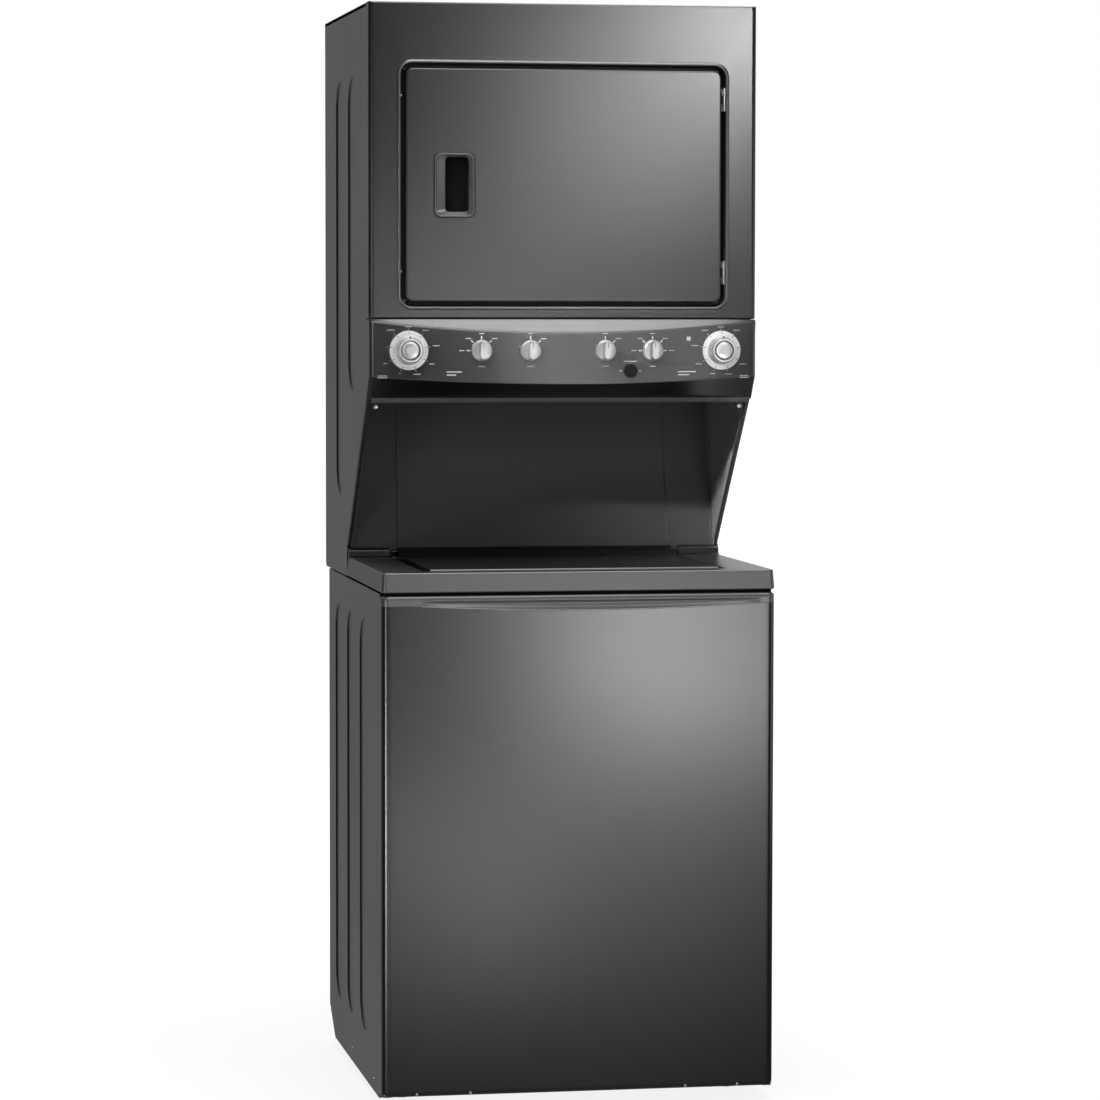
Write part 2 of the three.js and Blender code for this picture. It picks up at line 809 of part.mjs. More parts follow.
function consoleBezel() {
  const edge = half - 0.4;
  const back = dryerSeam + 0.5;
  const wall = 2.4;
  const stations = 16;
  const rings = [];
  for (let i = 0; i <= stations; i++) {
    const x = -edge + (2 * edge * i) / stations;
    const y = consoleFace(x);
    const band = 20 * bowAt(x);
    const hem = 1230 - 13 * bowAt(x);
    const top = consoleTop;
    rings.push([
      [x, dryerFront - 0.5, top],
      [x, y + 2, top - band - 1.5],
      [x, y, top - band - 5],
      [x, y, hem],
      [x, back, consoleLip + 1.5],
      [x, back, consoleLip + 1.5 + wall],
      [x, y + wall, hem + 1.6],
      [x, y + wall, top - band - 6],
      [x, dryerFront - 0.5, top - wall - 1.6],
    ]);
  }
  const flat = rings[0].map(([, y, z]) => new THREE.Vector2(y, z));
  const skin = closeLoft(loft(rings), flat);
  const cap = polygon([
    [consoleEnd, consoleTop - 5],
    [consoleEnd, 1230],
    [back, consoleLip + 1.5],
    [back, consoleTop - 0.2],
    [dryerFront - 0.5, consoleTop - 0.2],
  ]);
  const boss = (x) => {
    const inner = consoleFace(Math.abs(x) - 34);
    return latheY(rod(35, inner, consoleFace(x) + 1.5), x, controlZ, 20);
  };
  const seat = (x) => latheY(rod(19, consoleFace(x) - 2, consoleFace(x) + 2), x, controlZ, 14);
  const holes = [-dialX, dialX, ...selectorX].map((x) =>
    latheY(rod(5, 100, 190), x, controlZ, 8),
  );
  const buttonHole = latheY(rod(12.8, 100, 190), buttonSpot.x, buttonSpot.z, 14);
  return cut(
    join(skin, prismX(cap, edge - wall, edge), prismX(cap, -edge, -edge + wall),
      boss(-dialX), boss(dialX), ...selectorX.map(seat)),
    ...holes,
    buttonHole,
  );
}

blackPlastic("console_bezel", consoleBezel());

// The steel channel behind the bezel with the timers and switches screwed to it.
function controlChassis() {
  const plate = box(-325, 325, 160, 161.6, 1234, 1318);
  const timers = [-dialX, dialX].map((x) => box(x - 34, x + 34, 161, 188, 1240, 1310));
  const switches = selectorX.map((x) => box(x - 16, x + 16, 161, 186, 1259, 1291));
  const pushSwitch = box(buttonSpot.x - 12, buttonSpot.x + 12, 161, 180, 1228, 1252);
  const bores = [-dialX, dialX, ...selectorX].map((x) =>
    latheY(rod(4.6, 150, 172), x, controlZ, 8),
  );
  return cut(join(plate, ...timers, ...switches, pushSwitch), ...bores);
}

galvanised("control_chassis", controlChassis());

// A cycle dial: a flat skirt, a conical grip and a shaft, hollow for the start cap.
const dialFace = consoleFace(dialX - 34) - gap;
const dialReach = 25;
const capTravel = 4;

function cycleDial(x) {
  const f = dialFace;
  const profile = [
    [0, f - 12],
    [16.4, f - 12],
    [16.4, f - dialReach + 1],
    [18.5, f - dialReach],
    [20, f - dialReach],
    [24.5, f - 4],
    [33.5, f - 2.6],
    [34, f - 1],
    [33, f],
    [4, f],
    [4, 168],
    [0, 168],
  ];
  return latheY(profile, x, controlZ, 24);
}

function startCap(x) {
  const f = dialFace;
  const profile = [
    [0, f - dialReach - 2.2],
    [14.4, f - dialReach - 2.2],
    [15.9, f - dialReach - 1],
    [15.9, f - 12 - capTravel - gap],
    [0, f - 12 - capTravel - gap],
  ];
  return latheY(profile, x, controlZ, 20);
}

function selectorKnob(x) {
  const f = consoleFace(x) - 2 - gap;
  const profile = [
    [0, f - 9],
    [16.8, f - 8],
    [18.25, f - 6],
    [18.25, f],
    [3.8, f],
    [3.8, 166],
    [0, 166],
  ];
  const disc = latheY(profile, x, controlZ, 20);
  const grip = prismY(roundedRect(x - 6, x + 6, controlZ - 17.6, controlZ + 17.6, 5), f - 25, f - 7, 2);
  return join(disc, grip);
}

function pushButton() {
  const f = consoleFace(buttonSpot.x);
  const profile = [
    [0, f - 4.4],
    [11.2, f - 4.4],
    [12.3, f - 3.4],
    [12.3, f + 7],
    [4, f + 7],
    [4, 154],
    [0, 154],
  ];
  return latheY(profile, buttonSpot.x, buttonSpot.z, 16);
}

silver("dryer_cycle_dial", cycleDial(-dialX));
silver("dryer_start_cap", startCap(-dialX));
silver("washer_cycle_dial", cycleDial(dialX));
silver("washer_start_cap", startCap(dialX));
const selectorNames = ["dryer_heat", "dryer_signal", "washer_softener", "washer_temperature"];
selectorNames.forEach((name, i) => silver(`${name}_knob`, selectorKnob(selectorX[i])));
blackPlastic("extra_rinse_button", pushButton());

// ---------------------------------------------------------------- dryer works
function frontBulkhead() {
  const edge = sideInner - ribDepth - sheet - 2;
  const plate = box(-edge, edge, 200, 201.6, 1250, 1862);
  const collar = latheY(tube(250, 253, 200.5, 240), 0, drum.z, 28);
  const mouth = prismY(
    roundedRect(-opening.half, opening.half, opening.bottom, opening.top, opening.r), 195, 250, 4);
  const lintDuct = box(-100, 100, 201, 219, 1236, opening.bottom);
  const slot = box(-92, 92, 206.4, 214.4, 1230, opening.bottom + 10);
  return cut(join(plate, collar, lintDuct), mouth, slot);
}

function lintScreen() {
  const [low, high] = [1250, opening.bottom + 2];
  const frame = box(-91, 91, 207.4, 213.4, low, high);
  const window1 = box(-84, -3, 200, 220, low + 8, high - 14);
  const window2 = box(3, 84, 200, 220, low + 8, high - 14);
  const grip = prismY(roundedRect(-60, 60, high - 1, high + 14, 6), 207.4, 213.4, 2);
  return join(cut(frame, window1, window2), grip);
}

function rearBulkhead() {
  const edge = sideInner - ribDepth - sheet - 2;
  const plate = box(-edge, edge, 740, 741.6, 1262, 1862);
  const hub = latheY(tube(8.6, 22, 736.5, 752), 0, drum.z, 14);
  const bore = latheY(rod(8.6, 735, 760), 0, drum.z, 14);
  const airInlet = prismY(roundedRect(90, 230, 1400, 1500, 20), 735, 745, 2);
  return cut(join(cut(plate, bore), hub), airInlet);
}

function dryerDrum() {
  const wall = 1.6;
  const shaft = 8;
  const { r, front, back } = drum;
  const profile = [
    [0, back - 10],
    [r - 30, back - 10],
    [r - wall, back - 26],
    [r - wall, front + wall],
    [257, front + wall],
    [257, front],
    [r, front],
    [r, back - 24],
    [r - 28, back - 8],
    [40, back - 8],
    [40, back],
    [shaft, back],
    [shaft, 754],
    [0, 754],
  ];
  const shell = latheY(profile, 0, drum.z, 32);
  const baffle = polygon([[-34, r - 3], [0, r - 62], [34, r - 3]]);
  const baffles = [0, 1, 2].map((turn) => {
    const geometry = extruded(baffle, 400, 1).translate(0, 0, -(back - 60)).applyMatrix4(xzToY);
    geometry.rotateY((turn * Math.PI * 2) / 3).translate(0, 0, drum.z);
    return toSolid(geometry);
  });
  return join(shell, ...baffles);
}

const dryerPulley = { groove: 12, rim: 17, y0: 640, y1: 660 };

function dryerBelt() {
  const a = { x: 0, y: drum.z };
  const b = { x: motorAxis.x, y: motorAxis.z };
  const thick = 3;
  const inner = [drum.r + beltGap, dryerPulley.groove + beltGap];
  const [front, back] = [dryerPulley.y0 + 5, dryerPulley.y1 - 5];
  const outside = beltLoop(a, inner[0] + thick, b, inner[1] + thick);
  const inside = beltLoop(a, inner[0], b, inner[1]);
  return cut(prismY(outside, front, back, 14), prismY(inside, front - 1, back + 1, 14));
}

function dryerMotor() {
  const { x, z } = motorAxis;
  const can = [
    [9.6, 598],
    [50, 598],
    [54, 604],
    [54, 628],
    [50, 634],
    [9.6, 634],
  ];
  const foot = box(x - 45, x + 45, 602, 630, z - 90, z - 46);
  const shell = join(latheY(can, x, z, 16), foot);
  return cut(shell, latheY(rod(9.6, 590, 640), x, z, 12));
}

function motorShaft() {
  const { x, z } = motorAxis;
  const { groove, rim, y0, y1 } = dryerPulley;
  const profile = [
    [0, 534],
    [7, 534],
    [7, y0],
    [rim, y0],
    [rim, y0 + 3],
    [groove, y0 + 4],
    [groove, y1 - 4],
    [rim, y1 - 3],
    [rim, y1],
    [0, y1],
  ];
  return latheY(profile, x, z, 14);
}

function blowerWheel() {
  const { x, z } = motorAxis;
  const disc = latheY(tube(7.4, 78, 578, 580.5), x, z, 20);
  const hub = latheY(tube(7.4, 16, 556, 579), x, z, 14);
  const ring = latheY(tube(70, 78, 542, 545), x, z, 20);
  const blades = [];
  const count = 12;
  for (let i = 0; i < count; i++) {
    const blade = new THREE.BoxGeometry(12, 36, 1.6);
    blade.translate(71, 562, 0).rotateY((i / count) * Math.PI * 2).translate(x, 0, z);
    blades.push(toSolid(blade));
  }
  return join(disc, hub, ring, ...blades);
}

function blowerHousing() {
  const { x, z } = motorAxis;
  const outline = (r, back) => {
    const shape = new THREE.Shape();
    shape.moveTo(x, z - r);
    shape.lineTo(back, z - r);
    shape.lineTo(back, z - 22);
    shape.lineTo(x + r * 0.94, z - 22);
    shape.absarc(x, z, r, 0, Math.PI * 1.5, false);
    return shape;
  };
  const shell = prismY(outline(92, 52), 534, 592, 8);
  const hollow = prismY(outline(90, 60), 536, 590, 8);
  const eye = latheY(rod(50, 530, 537), x, z, 16);
  const shaftHole = latheY(rod(9.6, 580, 600), x, z, 12);
  return cut(shell, hollow, eye, shaftHole);
}

function exhaustDuct() {
  const { x, z, r } = duct;
  const wall = 1.2;
  const [front, back] = [528, depth];
  const outer = latheY(rod(r, front, back), x, z, 24);
  const inner = latheY(rod(r - wall, front + wall, back + 1), x, z, 24);
  const [low, high] = [z - 18, z + 44];
  const inletOuter = box(52 + gap, x - 20, 538, 588, low, high);
  const inletInner = box(52, x - 10, 538 + wall, 588 - wall, low + wall, high - wall);
  return cut(join(outer, inletOuter), inner, inletInner);
}

function heaterBox() {
  const shell = box(190, 316, 540, 756, 1150, 1250);
  const hollow = box(192, 314, 538, 754, 1152, 1248);
  const riser = box(86, 234, 742.4, 756, 1200, 1506);
  const riserHollow = box(88, 232, 741, 754.6, 1202, 1504);
  return cut(join(shell, riser), hollow, riserHollow);
}

galvanised("front_bulkhead", frontBulkhead());
plastic("lint_screen", lintScreen());
galvanised("rear_bulkhead", rearBulkhead());
galvanised("dryer_drum", dryerDrum());
rubber("drum_belt", dryerBelt());
castIron("dryer_motor", dryerMotor());
castIron("motor_shaft", motorShaft());
blackPlastic("blower_wheel", blowerWheel());
galvanised("blower_housing", blowerHousing());
galvanised("exhaust_duct", exhaustDuct());
galvanised("heater_box", heaterBox());

// ---------------------------------------------------------------- dryer door
const grip = { x0: -228.9, x1: -158.5, z0: 1505.5, z1: 1616.8 };
const pocket = { x0: -208.4, x1: -169.8, z0: 1515.6, z1: 1608.8 };
const hingeHeights = [
  ["upper", 1693.4],
  ["lower", 1391.6],
];
const hingeHeight = 39;
const knuckle = { r: 2.4, bore: 1.6, pin: 1.2, end: 12 };

function doorOutline(inset, r) {
  return roundedRect(
    -door.half + inset, door.half - inset, door.bottom + inset, door.top - inset, r - inset);
}

function doorOuterPanel() {
  const shell = cut(
    prismY(doorOutline(0, 14), door.front, door.back, 2),
    prismY(doorOutline(sheet, 14), door.front + sheet, door.back + 5, 2),
  );
  const handleHole = roundedRect(
    pocket.x0 - 4, pocket.x1 + 4, pocket.z0 - 4, pocket.z1 + 4, 8);
  return cut(shell, prismY(handleHole, door.front - 1, door.front + 3, 2));
}

function doorInnerPanel() {
  const plugHalf = opening.half - 16;
  const plug = (inset) =>
    roundedRect(
      -plugHalf + inset,
      plugHalf - inset,
      opening.bottom + 14 + inset,
      opening.top - 14 - inset,
      58 - inset,
    );
  const [front, back] = [door.back + gap, 176];
  const plate = prismY(doorOutline(1, 14), front, front + sheet, 2);
  const stiffener = cut(
    prismY(doorOutline(1, 14), front, back, 2),
    prismY(doorOutline(14, 15), front - 1, back + 1, 2),
  );
  const dish = cut(
    prismY(plug(0), front, 197, 4),
    prismY(plug(sheet), front - 1, 197 - sheet, 4),
  );
  const strike = box(-263, -257, front + 0.2, 190, 1555, 1569);
  const body = join(cut(join(plate, stiffener), prismY(plug(2), front - 1, back + 1, 4)), dish, strike);
  const knuckles = hingeHeights.map(([, z]) => {
    const [low, high] = [z + knuckle.end + gap, z + hingeHeight - knuckle.end - gap];
    const barrel = latheZ(rod(knuckle.r, low, high), hingeAxis.x, hingeAxis.y, 8);
    const tab = join(
      box(door.half + 0.5, hingeAxis.x, hingeAxis.y - 0.8, hingeAxis.y + 0.8, low, high),
      box(door.half + 0.5, door.half + 1.9, hingeAxis.y - 0.8, back - 0.5, low, high),
      box(door.half - 4, door.half + 1.9, front + 0.2, back - 0.5, low, high),
    );
    return join(barrel, tab);
  });
  const bores = hingeHeights.map(([, z]) =>
    latheZ(rod(knuckle.bore, z, z + hingeHeight), hingeAxis.x, hingeAxis.y, 8),
  );
  return cut(join(body, ...knuckles), ...bores);
}

function doorHandle() {
  const proud = 1.6;
  const plate = prismY(
    roundedRect(grip.x0, grip.x1, grip.z0, grip.z1, 12), door.front - proud, door.front - gap, 2);
  const cup = (inset) =>
    roundedRect(
      pocket.x0 - 2 + inset, pocket.x1 + 2 - inset, pocket.z0 - 2 + inset, pocket.z1 + 2 - inset, 7);
  const shell = join(plate, prismY(cup(0), door.front - 1, door.back - 2, 2));
  return cut(shell, prismY(cup(2), door.front - 5, door.back - 4, 2));
}

function doorHinge(z) {
  const { x, y } = hingeAxis;
  const top = z + hingeHeight;
  const pin = latheZ(rod(knuckle.pin, z, top), x, y, 8);
  const ends = [
    latheZ(rod(knuckle.r, z, z + knuckle.end), x, y, 8),
    latheZ(rod(knuckle.r, top - knuckle.end, top), x, y, 8),
  ];
  const leaf = box(x + 0.6, x + 2, y, recess.floor - gap, z, z + knuckle.end);
  const upperLeaf = box(x + 0.6, x + 2, y, recess.floor - gap, top - knuckle.end, top);
  const foot = box(x - 2.5, x + 2, recess.floor - gap - 1.6, recess.floor - gap, z, top);
  return join(pin, ...ends, leaf, upperLeaf, foot);
}

painted("door_outer_panel", doorOuterPanel());
galvanised("door_inner_panel", doorInnerPanel());
painted("door_handle", doorHandle());
for (const [place, z] of hingeHeights) {
  silver(`door_hinge_${place}`, doorHinge(z));
}

export default model;
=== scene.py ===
"""Looks of the stacked laundry centre: a washer below, a dryer above and one console between them.

Lengths are millimetres in the row frame (X right, Y back, Z up) until place() turns them into metres.
"""

import math
from collections import namedtuple

import bmesh
import bpy
from mathutils import Matrix, Vector


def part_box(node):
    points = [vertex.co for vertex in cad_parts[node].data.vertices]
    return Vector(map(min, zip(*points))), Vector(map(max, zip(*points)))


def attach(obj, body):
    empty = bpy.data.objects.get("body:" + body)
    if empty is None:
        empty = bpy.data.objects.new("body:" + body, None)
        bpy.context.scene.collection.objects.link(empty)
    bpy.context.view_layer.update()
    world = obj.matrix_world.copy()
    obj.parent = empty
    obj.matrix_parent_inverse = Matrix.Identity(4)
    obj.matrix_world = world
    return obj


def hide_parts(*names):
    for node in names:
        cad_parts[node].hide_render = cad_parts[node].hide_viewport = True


MM = 0.001
SHEET = 1.2  # steel sheet
THIN_SHEET = 0.9
POLE = 0.01  # a turned profile's radius where it ends on the axis

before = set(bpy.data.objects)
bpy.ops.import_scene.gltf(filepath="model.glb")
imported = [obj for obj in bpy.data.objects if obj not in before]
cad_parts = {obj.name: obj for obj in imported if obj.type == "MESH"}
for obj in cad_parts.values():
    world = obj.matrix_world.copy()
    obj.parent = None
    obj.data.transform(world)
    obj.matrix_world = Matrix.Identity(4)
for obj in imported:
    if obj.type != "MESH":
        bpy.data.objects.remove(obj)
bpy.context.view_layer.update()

Box = namedtuple("Box", "x0 x1 y0 y1 z0 z1 cx cy cz")


def cad(node):
    """A CAD node's box in millimetres, with its centre."""
    low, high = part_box(node)
    sides = [v / MM for pair in zip(low, high) for v in pair]
    centre = [(sides[i] + sides[i + 1]) / 2 for i in (0, 2, 4)]
    return Box(*sides, *centre)


FRONT = cad("washer_front_panel")


def from_front(back):
    """The depth that lies this far behind the washer's front face."""
    return FRONT.y0 + back


def above(up):
    """The height that lies this far above the washer front panel's lower edge."""
    return FRONT.z0 + up


def lerp(a, b, t):
    return a + (b - a) * t


# ---------------------------------------------------------------- outlines and solids
def arc(cx, cy, r, start, end, steps=8):
    """Points on a circle between two angles in degrees."""
    turns = [math.radians(start + (end - start) * i / steps) for i in range(steps + 1)]
    return [(cx + r * math.cos(t), cy + r * math.sin(t)) for t in turns]


def circle(cx, cy, r, count=48):
    return arc(cx, cy, r, 0, 360, count)[:-1]


def rounded(x0, x1, y0, y1, r, steps=8):
    """A rectangle with round corners, anticlockwise from its lower right corner."""
    return (
        arc(x1 - r, y0 + r, r, -90, 0, steps)
        + arc(x1 - r, y1 - r, r, 0, 90, steps)
        + arc(x0 + r, y1 - r, r, 90, 180, steps)
        + arc(x0 + r, y0 + r, r, 180, 270, steps)
    )


def inset_box(b, by, r, steps=8):
    """rounded() of (x0, x1, y0, y1), moved inwards."""
    return rounded(b[0] + by, b[1] - by, b[2] + by, b[3] - by, max(r - by, 0.4), steps)


def nest(b, rows, on, steps=8):
    """Round rectangles one inside the other: each row holds (inset, along, corner radius)."""
    x0, x1, y0, y1 = b
    return [on(rounded(x0 + i, x1 - i, y0 + i, y1 - i, r, steps), along) for i, along, r in rows]


def soften(points, radius, steps=4, closed=False):
    """A polyline with each corner turned into an arc."""
    out = []
    count = len(points)
    for i, point in enumerate(points):
        if not closed and i in (0, count - 1):
            out.append(point)
            continue
        p = Vector(point)
        a = Vector(points[i - 1]) - p
        b = Vector(points[(i + 1) % count]) - p
        between = a.angle(b, math.pi) / 2
        reach = min(radius / max(math.tan(between), 0.01), a.length * 0.48, b.length * 0.48)
        start, end = p + a.normalized() * reach, p + b.normalized() * reach
        for k in range(steps + 1):
            t = k / steps
            q = start * (1 - t) ** 2 + p * 2 * t * (1 - t) + end * t**2
            out.append((q.x, q.y))
    return out


def on_y(points, y):
    """Points drawn in (x, z), set at depth y."""
    return [(x, y, z) for x, z in points]


def on_z(points, z):
    """Points drawn in (x, y), set at height z."""
    return [(x, y, z) for x, y in points]


def on_x(points, x):
    """Points drawn in (y, z), set at width x."""
    return [(x, y, z) for y, z in points]


ON = {"x": on_x, "y": on_y, "z": on_z}


class Form:
    """A mesh in the making, in millimetres."""

    def __init__(self):
        self.bm = bmesh.new()

    def ring(self, points):
        return [self.bm.verts.new(p) for p in points]

    def face(self, verts):
        try:
            self.bm.faces.new(verts)
        except ValueError:
            pass  # the face is there already

    def band(self, a, b, closed=True):
        last = len(a) if closed else len(a) - 1
        for i in range(last):
            j = (i + 1) % len(a)
            self.face([a[i], a[j], b[j], b[i]])

    def skin(self, rings, closed=True):
        """Quads from each ring to the next. Returns the first and the last ring."""
        made = [self.ring(r) for r in rings]
        for a, b in zip(made, made[1:]):
            self.band(a, b, closed)
        return made[0], made[-1]

    def loft(self, rings, front_cap=True):
        first, last = self.skin(rings)
        if front_cap:
            self.face(first)
        self.face(last)

    def fill(self, *loops):
        """A flat face inside the first loop and outside the others."""
        edges = []
        for loop in loops:
            for i, v in enumerate(loop):
                w = loop[(i + 1) % len(loop)]
                edges.append(self.bm.edges.get((v, w)) or self.bm.edges.new((v, w)))
        bmesh.ops.triangle_fill(self.bm, use_beauty=True, use_dissolve=False, edges=edges)

    def turn(self, profile, centre, axis="y", count=64):
        """(radius, along) points turned about an axis through centre. Returns the end rings."""
        cx, cy = centre
        return self.skin([ON[axis](circle(cx, cy, max(r, POLE), count), along) for r, along in profile])

    def lathe(self, profile, centre, axis="y", count=64):
        """turn(), whose ends on the axis meet in a point."""
        for (radius, _), ring in zip((profile[0], profile[-1]), self.turn(profile, centre, axis, count)):
            if radius < 2 * POLE:
                tip = sum((v.co for v in ring), Vector()) / len(ring)
                bmesh.ops.pointmerge(self.bm, verts=ring, merge_co=tip)

    def hoop(self, profile, centre, axis="z", count=120):
        """A closed profile turned about an axis."""
        self.turn(profile, centre, axis, count)
        edge = [e for e in self.bm.edges if len(e.link_faces) == 1]
        bmesh.ops.bridge_loops(self.bm, edges=edge)

    def block(self, x0, x1, y0, y1, z0, z1, r=0.8, steps=2):
        """A box with all its edges rounded."""
        r = min(r, (x1 - x0) / 2.1, (y1 - y0) / 2.1, (z1 - z0) / 2.1)
        rings = []
        for end, up, order in ((z0, 1, range(steps + 1)), (z1, -1, range(steps, -1, -1))):
            for k in order:
                t = math.radians(90 * k / steps)
                flat = inset_box((x0, x1, y0, y1), r * (1 - math.sin(t)), r, steps)
                rings.append(on_z(flat, end + up * r * (1 - math.cos(t))))
        self.loft(rings)

    def mirrored(self):
        """A copy of every face on the other side of the middle plane."""
        copy = bmesh.ops.duplicate(self.bm, geom=self.bm.verts[:] + self.bm.faces[:] + self.bm.edges[:])
        verts = [g for g in copy["geom"] if isinstance(g, bmesh.types.BMVert)]
        faces = [g for g in copy["geom"] if isinstance(g, bmesh.types.BMFace)]
        bmesh.ops.scale(self.bm, vec=(-1, 1, 1), verts=verts)
        bmesh.ops.reverse_faces(self.bm, faces=faces)


def paint_where(piece, paint, chosen):
    """Gives a second paint to the faces whose centre, in millimetres, is chosen."""
    piece.data.materials.append(paint)
    index = len(piece.data.materials) - 1
    for face in piece.data.polygons:
        if chosen(face.center / MM):
            face.material_index = index


def within(at, b, by=0.0):
    """True where a point lies inside (x0, x1, z0, z1), moved inwards."""
    return b[0] + by < at.x < b[1] - by and b[2] + by < at.z < b[3] - by


def bevelled(piece, name, width, segments, angle):
    """Rounds the edges that are sharper than an angle."""
    bevel = piece.modifiers.new(name, "BEVEL")
    bevel.width = width * MM
    bevel.segments = segments
    bevel.limit_method = "ANGLE"
    bevel.angle_limit = math.radians(angle)
    return bevel


def soft_edges(piece, width, segments=3, angle=40):
    """Rounds the sharp edges of a closed piece, before its other modifiers."""
    bevelled(piece, "soft edges", width, segments, angle)
    piece.modifiers.move(len(piece.modifiers) - 1, 0)


def place(name, form, paint, body, stands_for=(), thick=0.0, outward=None, sharp=32):
    """Makes the piece: metres, outward faces, soft shading with crisp edges, sheet thickness."""
    bm = form.bm
    bmesh.ops.remove_doubles(bm, verts=bm.verts, dist=0.002)
    bmesh.ops.recalc_face_normals(bm, faces=bm.faces)
    if outward is not None:
        lean = sum((f.normal.dot(Vector(outward)) * f.calc_area() for f in bm.faces), 0.0)
        if lean < 0:
            bmesh.ops.reverse_faces(bm, faces=bm.faces)
    bm.normal_update()
    for f in bm.faces:
        f.smooth = True
    for e in bm.edges:
        e.smooth = len(e.link_faces) == 2 and e.calc_face_angle(0) < math.radians(sharp)
    bmesh.ops.scale(bm, vec=(MM, MM, MM), verts=bm.verts)
    mesh = bpy.data.meshes.new(name)
    bm.to_mesh(mesh)
    bm.free()
    mesh.materials.append(paint)
    piece = bpy.data.objects.new(name, mesh)
    bpy.context.scene.collection.objects.link(piece)
    if thick:
        wall = piece.modifiers.new("sheet", "SOLIDIFY")
        wall.thickness = thick * MM
        wall.offset = -1
        wall.use_quality_normals = True
    flat = piece.modifiers.new("flat faces stay flat", "WEIGHTED_NORMAL")
    flat.keep_sharp = True
    flat.weight = 80
    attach(piece, body)
    if stands_for:
        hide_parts(*stands_for)
    return piece


# ---------------------------------------------------------------- materials
GRAPHITE = (0.086, 0.086, 0.086)


def scaled(colour, by):
    return tuple(min(1.0, c * by) for c in colour)


class Surface:
    """A node material on one Principled shader, fed by fine noise in object space."""

    def __init__(self, name, colour, metallic=0.0, roughness=0.4, **sockets):
        self.material = bpy.data.materials.new(name)
        self.material.use_nodes = True
        self.tree = self.material.node_tree
        self.shader = self.tree.nodes["Principled BSDF"]
        self.colour = colour
        self.shader.inputs["Base Color"].default_value = (*colour, 1)
        self.shader.inputs["Metallic"].default_value = metallic
        self.shader.inputs["Roughness"].default_value = roughness
        for socket, value in sockets.items():
            self.shader.inputs[socket.replace("_", " ")].default_value = value
        self.place = self.node("ShaderNodeTexCoord").outputs["Object"]

    def node(self, kind, **inputs):
        node = self.tree.nodes.new(kind)
        for name, value in inputs.items():
            socket = node.inputs[name.replace("_", " ")]
            if isinstance(value, bpy.types.NodeSocket):
                self.tree.links.new(value, socket)
            else:
                socket.default_value = value
        return node

    def noise(self, scale, detail=3.0, stretch=(1, 1, 1)):
        spot = self.node("ShaderNodeMapping", Vector=self.place, Scale=stretch)
        fine = self.node("ShaderNodeTexNoise", Vector=spot.outputs[0], Scale=scale, Detail=detail)
        fine.inputs["Roughness"].default_value = 0.55
        return fine.outputs["Fac"]

    def spread(self, factor, low, high, start=0.3, end=0.7):
        limits = {"From_Min": start, "From_Max": end, "To_Min": low, "To_Max": high}
        ranged = self.node("ShaderNodeMapRange", Value=factor, **limits)
        ranged.interpolation_type = "SMOOTHSTEP"
        return ranged.outputs["Result"]

    def vary_colour(self, factor, by, share=1.0):
        """Mixes the colour towards itself scaled by a number where factor is high."""
        mix = self.tree.nodes.new("ShaderNodeMix")
        mix.data_type = "RGBA"
        a, b, mixed = mix.inputs[6], mix.inputs[7], mix.outputs[2]
        current = self.shader.inputs["Base Color"]
        if current.links:
            self.tree.links.new(current.links[0].from_socket, a)
        else:
            a.default_value = (*self.colour, 1)
        b.default_value = (*scaled(self.colour, by), 1)
        self.tree.links.new(self.spread(factor, 0.0, share), mix.inputs[0])
        self.tree.links.new(mixed, current)

    def vary_roughness(self, factor, low, high):
        self.tree.links.new(self.spread(factor, low, high), self.shader.inputs["Roughness"])

    def bump(self, height, distance, strength):
        node = self.node("ShaderNodeBump", Height=height, Distance=distance * MM, Strength=strength)
        self.tree.links.new(node.outputs["Normal"], self.shader.inputs["Normal"])

    def worn_and_edge_lit(self, by, share=0.4):
        """The finished material, its edges lighter in patches: rubbed wear, and painted highlight along the
        edges.
        """
        edge = self.node("ShaderNodeNewGeometry").outputs["Pointiness"]
        patchy = self.node("ShaderNodeMath", Value=self.spread(edge, 0, 1, 0.52, 0.6))
        patchy.operation = "MULTIPLY"
        self.tree.links.new(self.noise(60, 4), patchy.inputs[1])
        self.vary_colour(patchy.outputs[0], by, share)
        return self.material


def enamel(name, shade, roughness, metallic, coat):
    """Gloss paint with fine metal flake and a trace of orange peel."""
    paint = Surface(name, scaled(GRAPHITE, shade), metallic, roughness, Coat_Weight=coat, Coat_Roughness=0.22)
    paint.vary_colour(paint.noise(2600, 1), 1.12)
    paint.vary_colour(paint.noise(1.5, 1), 0.94, 0.6)
    paint.vary_roughness(paint.noise(2.5, 1), roughness - 0.01, roughness + 0.012)
    paint.bump(paint.noise(900, 1), 0.004, 0.4)
    # Edges up to twice as light in patches: painted highlight along the edges, and rubbed wear.
    return paint.worn_and_edge_lit(2.0)


def zinc():
    """Galvanised sheet with its spangle."""
    metal = Surface("galvanised sheet", (0.5, 0.51, 0.52), 0.85, 0.42)
    cells = metal.node("ShaderNodeTexVoronoi", Vector=metal.place, Scale=320.0)
    metal.vary_colour(cells.outputs["Color"], 0.86, 0.8)
    metal.vary_roughness(cells.outputs["Color"], 0.38, 0.46)
    metal.vary_colour(metal.noise(5, 4), 0.9, 0.6)
    metal.bump(metal.noise(160, 3), 0.03, 0.5)
    return metal.worn_and_edge_lit(1.3)


def brushed(name, colour, roughness, stretch):
    """Bare metal with the lines of the brush or the drawing die."""
    metal = Surface(name, colour, 1.0, roughness)
    lines = metal.noise(90, 4, stretch)
    metal.vary_colour(lines, 0.85, 0.7)
    metal.vary_roughness(lines, roughness - 0.05, roughness + 0.1)
    metal.bump(lines, 0.012, 0.6)
    return metal.worn_and_edge_lit(1.25)


